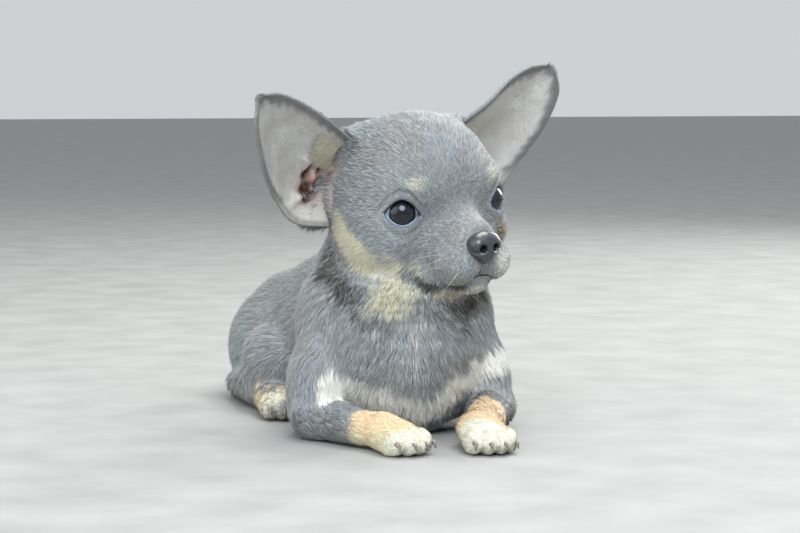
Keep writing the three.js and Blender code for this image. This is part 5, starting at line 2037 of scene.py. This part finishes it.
@dataclass
class Eyes:
    """The eyes with their lids' edges, wet line, pink corners and lashes."""

    head: Head
    finishes: Finishes
    strands: StrandTree

    def out(self, side: float, points: Array) -> Array:
        """Points of an eye's frame in the puppy's."""
        matrix = self.head.matrix() @ self.head.eye_matrix(side)
        return points @ np.array(matrix.to_3x3()).T + np.array(matrix.translation)

    def on_ball(self, x: Array, z: Array, lift: float) -> Array:
        """Points of an eye's frame on the ball, lifted off it."""
        r = self.head.eye_radius + lift
        return np.stack([x, -np.sqrt(np.maximum(r * r - x * x - z * z, 0.1)), z], 1)

    def edge(self, upper: bool, grow: float, lift: float, count: int = 30) -> Array:
        """The line of one lid's edge, in the eye's frame.

        Args:
            upper: whether it is the upper lid.
            grow: how much wider than the opening it runs.
            lift: how far it stands before the eyeball.
            count: how many points it has.

        Returns:
            The points.
        """
        opening = (self.head.opening[0] / 2, *self.head.opening[1:])
        half, up, down = (v + grow for v in opening)
        x = np.linspace(-half, half, count)
        z = (up if upper else -down) * (1 - (x / half) ** 2)
        return self.on_ball(x, z, lift)

    def ball(self, side: float, name: str) -> None:
        """One eyeball, with the swell of its cornea.

        Args:
            side: 1 for the left eye, -1 for the right one.
            name: the side's name.
        """
        rings, around = 44, 56
        tilt = np.linspace(0, math.pi, rings + 1)[1:-1, None]
        turn = np.arange(around)[None] * 2 * math.pi / around
        x, z, y = np.sin(tilt) * np.cos(turn), np.sin(tilt) * np.sin(turn), -np.cos(tilt) + 0 * turn
        p = np.stack([x, y, z], -1).reshape(-1, 3)
        p = np.concatenate([p, [(0, -1, 0), (0, 1, 0)]])
        off = np.hypot(p[:, 0], p[:, 2])
        swell = np.where(p[:, 1] < 0, np.clip(1 - (off / 0.66) ** 2, 0, 1) ** 1.2 * 0.07, 0)
        points = p * (self.head.eye_radius * (1 + swell))[:, None]
        index = np.arange((rings - 1) * around).reshape(rings - 1, around)
        turned = np.roll(index, -1, 1)
        faces = np.stack([index[:-1], turned[:-1], turned[1:], index[1:]], -1).reshape(-1, 4)
        front, back = len(p) - 2, len(p) - 1
        first = np.stack([np.full(around, front), turned[0], index[0], index[0]], 1)
        last = np.stack([np.full(around, back), index[-1], turned[-1], turned[-1]], 1)
        quads = np.concatenate([faces, first, last])
        piece = make_mesh(f"eyeball_{name}", to_world(self.out(side, points)), quads)
        gaze = np.where(p[:, 1] > 0, 1.0, off)
        give(piece, "disc", np.stack([p[:, 0], p[:, 2], gaze], 1))
        place(piece, self.finishes.eye, [f"eye_{name}"])

    def build(self) -> None:
        """Builds both eyes and all that edges them."""
        for name, side in SIDES.items():
            self.ball(side, name)
        upper = [self.out(s, self.edge(True, 0.1, 0.3)) for s in SIDES.values()]
        looks = self.finishes
        edge = self.strands.strands("upper_lid_edges", upper, (0.6, 0.85, 0.7), 10, looks.lid)
        place(edge, looks.lid)
        lower = [self.out(s, self.edge(False, 0.15, 0.25)) for s in SIDES.values()]
        edge = self.strands.strands("lower_lid_edges", lower, (0.25, 0.45, 0.25), 10, looks.pale_lid)
        place(edge, looks.pale_lid)
        wet = [self.out(s, self.edge(False, -0.45, 0.05)) for s in SIDES.values()]
        edge = self.strands.strands("wet_lines", wet, (0.12, 0.3, 0.12), 8, looks.wet)
        place(edge, looks.wet)
        half = self.head.opening[0] / 2
        corners = []
        for side in SIDES.values():
            x = -side * np.linspace(half - 1.3, half + 0.1, 5)
            corners.append(self.out(side, self.on_ball(x, -0.1 + 0 * x, 0.1)))
        pink = self.strands.strands("eye_corners", corners, (0.25, 0.55, 0.2), 10, self.finishes.caruncle)
        place(pink, self.finishes.caruncle)
        dice = np.random.default_rng(5)
        lashes = []
        for side in SIDES.values():
            for t in np.linspace(-0.75, 0.85, 13):
                x = np.array([t * half * side + dice.normal(0, 0.1)])
                z = self.head.opening[1] * (1 - t * t) + 0 * x
                foot = self.on_ball(x, z, 0.5)[0]
                lean = np.array([0.5 * t * side, -0.8, 0.35]) + dice.normal(0, 0.12, 3)
                reach = 2.4 * dice.uniform(0.7, 1.2)
                rise = np.array([0, 0, 0.9])
                steps = [foot + unit(lean) * reach * s + rise * s * s for s in np.linspace(0, 1, 5)]
                lashes.append(self.out(side, np.array(steps)))
        hair = self.strands.strands("lashes", lashes, (0.07, 0.05, 0.015), 4, self.finishes.lash)
        place(hair, self.finishes.lash)


@dataclass
class Muzzle:
    """The nose, the lips' line and the whiskers."""

    head: Head
    skin: Skin
    finishes: Finishes
    strands: StrandTree

    def out(self, points: Array) -> Array:
        """Points of the head's frame in the puppy's."""
        matrix = self.head.matrix()
        return points @ np.array(matrix.to_3x3()).T + np.array(matrix.translation)

    def nose_form(self) -> Field:
        """The nose's pad with its nostrils, in the head's frame."""
        (a, b, c), (_, y, z) = self.head.nose_half, self.head.nose_at
        pad = flow(
            1.6,
            egg((0, y, z), (a - 1, b, c)),
            both(egg((a * 0.52, y + 0.5, z + 0.4), (a * 0.46, b * 0.9, c * 0.68))),
            egg((0, y + 0.6, z - c * 0.62), (2.6, b * 0.85, c * 0.55)),
        )
        hole = both(limb((a * 0.34, y - b * 0.25, z - 0.2), (a * 0.46, y - b * 1.35, z - 1.1), 1.1, 1.75))
        knots = (
            *((a * 0.44, y - b, z - 1.4), (a * 0.8, y - b * 0.8, z - 2.8)),
            *((a * 1.08, y - b * 0.3, z - 1.6), (a * 1.1, y, z + 0.6)),
        )
        slit = settled(pad, smooth_line(knots, 10), 5, 1.5)
        radii = np.linspace(0.9, 0.45, len(slit))
        parts = [limb(p, q, r, s) for p, q, r, s in zip(slit, slit[1:], radii, radii[1:])]
        slits = both(flow(0.2, *parts))
        seam = limb((0, y - b * 1.05, z + 0.6), (0, y - b * 0.7, z - c * 1.2), 0.16, 0.34)

        def form(p: Array) -> Array:
            """The nose with its holes, slits and seam."""
            d = cut(pad(p), hole(p), 0.9)
            d = cut(d, slits(p), 0.6)
            return cut(d, seam(p), 0.8)

        return form

    def nose(self) -> None:
        """The bare, pebbled pad of the nose."""
        (a, b, c), (_, y, z) = self.head.nose_half, self.head.nose_at
        step = 0.34
        axes = (
            graded((-a - 2, a + 2, step)),
            graded((y - b - 2, y + b + 2, step)),
            graded((z - c - 3, z + c + 2, step)),
        )
        form = self.nose_form()
        points, faces = surface_net(form, axes)
        points = settled(form, points, 2, 0.2)
        piece = make_mesh("nose_pad", to_world(self.out(points)), faces)
        place(piece, self.finishes.nose, ["nose"])

    def mouth(self) -> None:
        """The dark line between the lips and the cleft above it."""
        line = self.skin.lips
        depth = slopes(self.skin.figure.head_local, line)
        sunk = line - depth * 0.75
        whole = np.concatenate([(sunk * (-1, 1, 1))[::-1], sunk[1:]])
        lips = self.strands.strands("lip_line", [self.out(whole)], (0.35, 0.5, 0.35), 8, self.finishes.lip)
        place(lips, self.finishes.lip)
        cleft = self.skin.cleft - slopes(self.skin.figure.head_local, self.skin.cleft) * 0.55
        below = self.strands.strands("nose_cleft", [self.out(cleft)], (0.3, 0.2, 0.2), 8, self.finishes.lip)
        place(below, self.finishes.lip)

    def whiskers(self) -> None:
        """Long pale whiskers on the lips and a few on the chin."""
        dice = np.random.default_rng(11)
        local = self.skin.figure.head_local
        lines = []
        spots = [(9.5 + 1.2 * i, -41 + 4.5 * i, -22 - 3.0 * j + 0.5 * i) for j in range(2) for i in range(2)]
        for side in SIDES.values():
            for x, y, z in spots:
                foot = settled(local, np.array([[x * side, y, z]]) + dice.normal(0, 0.4, (1, 3)), 5, 3.0)
                out = slopes(local, foot)[0]
                lean = unit(out * 0.75 + np.array((0.55 * side, 0.25, -0.22)) + dice.normal(0, 0.16, 3))
                reach = dice.uniform(11, 22)
                bend = np.array((0, 0.22, -0.26)) * reach
                steps = [foot[0] + lean * reach * t + bend * t * t for t in np.linspace(0, 1, 12)]
                lines.append(np.array(steps))
            for x, y, z, reach in ((5, -40, -34, 8), (2, -42, -35, 7)):
                foot = settled(local, np.array([[x * side, y, z]], float), 5, 3.0)
                out = slopes(local, foot)[0]
                lean = unit(out + (0.15 * side, 0, 0.25 * np.sign(z)))
                sag = np.array((0, 1.5, 1.0))
                steps = [foot[0] + lean * reach * t + sag * t * t for t in np.linspace(0, 1, 8)]
                lines.append(np.array(steps))
        out, finish = [self.out(line) for line in lines], self.finishes.whisker
        hair = self.strands.strands("whiskers", out, (0.04, 0.03, 0.01), 5, finish)
        place(hair, self.finishes.whisker)

    def chest_hairs(self) -> None:
        """Long pale hairs that fan out over the chest from under the throat."""
        dice = np.random.default_rng(12)
        form = self.skin.form
        lines = []
        for _ in range(70):
            root = np.array((-3.5, -54, 34)) + dice.normal(0, 1, 3) * (2.6, 0.5, 3.5)
            fan = (root[0] + 3.5) * 0.12 + dice.normal(0, 0.08)
            way = unit(np.array((fan, 0.0, -1.0)))
            line = root + way * np.linspace(0, dice.uniform(7, 14), 9)[:, None]
            lines.append(settled(lambda p: form(p) - 1.6, line, 5, 4.0))
        hair = self.strands.strands("chest_hairs", lines, (0.06, 0.08, 0.02), 4, self.finishes.whisker)
        place(hair, self.finishes.whisker)

    def build(self) -> None:
        """Builds the muzzle's pieces and the long hairs of the chest."""
        self.chest_hairs()
        self.nose()
        self.mouth()
        self.whiskers()


@dataclass
class Claws:
    """Sixteen small claws."""

    figure: Figure
    finishes: Finishes
    strands: StrandTree
    length: float = 2.6

    def build(self) -> None:
        """Builds them all in one piece."""
        lines = []
        for legs in (self.figure.forelegs, self.figure.hindlegs):
            for leg in legs.values():
                matrix = paw_matrix(leg.paw, leg.heading)
                turn, at = np.array(matrix.to_3x3()), np.array(matrix.translation)
                for n in TOES:
                    y = -(toe_reach(n) + 4.6) * leg.size
                    knots = (
                        (5.2 * n * leg.size, y, -1.2),
                        (5.4 * n * leg.size, y - 0.65 * self.length, -1.7),
                        (5.5 * n * leg.size, y - 0.95 * self.length, -3.6),
                    )
                    lines.append(smooth_line(knots, 8) @ turn.T + at)
        claws = self.strands.strands("claws", lines, (0.95, 0.75, 0.16), 10, self.finishes.claw)
        place(claws, self.finishes.claw)


# The studio


@dataclass(frozen=True)
class Studio:
    """Camera, floor and light."""

    azimuth: float = -14.0
    distance: float = 925.0
    across: float = 9.8
    height: float = 131.0
    middle_x: float = 412.0
    middle_y: float = 72.0
    focal: float = 2466.0

    def camera(self) -> None:
        """A camera at the photograph's place."""
        a = math.radians(self.azimuth)
        right, toward = Vector((math.cos(a), math.sin(a), 0)), Vector((math.sin(a), -math.cos(a), 0))
        at = right * self.across + toward * self.distance
        at = Vector(((at.x - MIDDLE[0]) * MM, (at.y - MIDDLE[1]) * MM, self.height * MM))
        pitch = math.atan((266.5 - self.middle_y) / self.focal)
        yaw = a + math.atan((self.middle_x - 400) / self.focal)
        turn = Matrix.Rotation(yaw, 4, "Z") @ Matrix.Rotation(math.pi / 2 - pitch, 4, "X")
        data = bpy.data.cameras.new("camera")
        data.sensor_width, data.lens = 36.0, self.focal / 800 * 36.0
        data.clip_start = 0.01
        camera = bpy.data.objects.new("camera", data)
        camera.matrix_world = Matrix.Translation(at) @ turn
        bpy.context.scene.collection.objects.link(camera)
        bpy.context.scene.camera = camera

    def light(
        self,
        name: str,
        at: Sequence[float],
        to: Sequence[float],
        size: tuple[float, float],
        power: float,
        tint: int,
    ) -> None:
        """A soft box at a place in metres, turned to a point.

        Args:
            name: its name.
            at: its place.
            to: the point that it is turned to.
            size: its width and height in metres.
            power: its power in watts.
            tint: its colour.
        """
        data = bpy.data.lights.new(name, "AREA")
        data.shape, data.size, data.size_y, data.energy = "ELLIPSE", size[0], size[1], power
        data.color = colour(tint)[:3]
        lamp = bpy.data.objects.new(name, data)
        way = Vector(to) - Vector(at)
        lamp.matrix_world = Matrix.Translation(at) @ way.to_track_quat("-Z", "Y").to_matrix().to_4x4()
        bpy.context.scene.collection.objects.link(lamp)

    def build(self, finishes: Finishes) -> None:
        """Sets up the camera, the floor, the lamps and the pale room.

        Args:
            finishes: the finishes, which the floor's is made with.
        """
        self.camera()
        mesh = bpy.data.meshes.new("floor")
        mesh.from_pydata([(-4, -4, 0), (4, -4, 0), (4, 6, 0), (-4, 6, 0)], [], [(0, 1, 2, 3)])
        floor = bpy.data.objects.new("floor", mesh)
        mesh.materials.append(finishes.floor)
        bpy.context.scene.collection.objects.link(floor)
        self.light("top box", (0.2, 0.1, 1.1), (0, 0, 0.05), (0.9, 0.7), 13.0, 0xFFFDF8)
        self.light("back box", (0.8, 0.6, 0.5), (0, 0, 0.08), (0.8, 0.5), 6.0, 0xFFFFFF)
        self.light("window", (-0.2, -0.85, 0.68), (0, 0, 0.06), (0.7, 0.62), 9.5, 0xEDF5FF)
        self.light("side box", (-0.9, -0.3, 0.42), (0, 0, 0.08), (1.1, 0.9), 3.4, 0xFFFDF6)
        world = bpy.data.worlds.new("pale room")
        world.use_nodes = True
        world.node_tree.nodes["Background"].inputs["Color"].default_value = colour(0xE9EDF0)
        world.node_tree.nodes["Background"].inputs["Strength"].default_value = 0.75
        bpy.context.scene.world = world
        bpy.context.scene.view_settings.view_transform = "Standard"


FLESH = (
    *("head", "neck", "torso", "tail", "ear_left", "ear_right"),
    *(f"{part}_{side}" for part in ("foreleg", "forepaw", "hindleg", "hindpaw") for side in SIDES),
)


def main() -> None:
    """Builds the puppy, its coat and the studio."""
    finishes = Finishes()
    Studio().build(finishes)
    figure, shape = Figure(), EarShape()
    strands = StrandTree()
    skin = Skin(figure, shape)
    surface = skin.net()
    log.info("skin net: %d faces", len(surface.faces))
    for side in SIDES:
        surface = surface.joined(Ear(side, shape, skin).surface())
    piece = make_mesh("skin", to_world(surface.points), surface.faces)
    give(piece, "marks", surface.marks)
    give(piece, "tone", surface.tone)
    place(piece, finishes.skin, FLESH)
    coat = Coat(skin, surface, finishes)
    for seed, patch in enumerate(PATCHES):
        coat.grow(patch, 100 + seed)
    Eyes(figure.head, finishes, strands).build()
    Muzzle(figure.head, skin, finishes, strands).build()
    Claws(figure, finishes, strands).build()


if __name__ == "__main__":
    main()
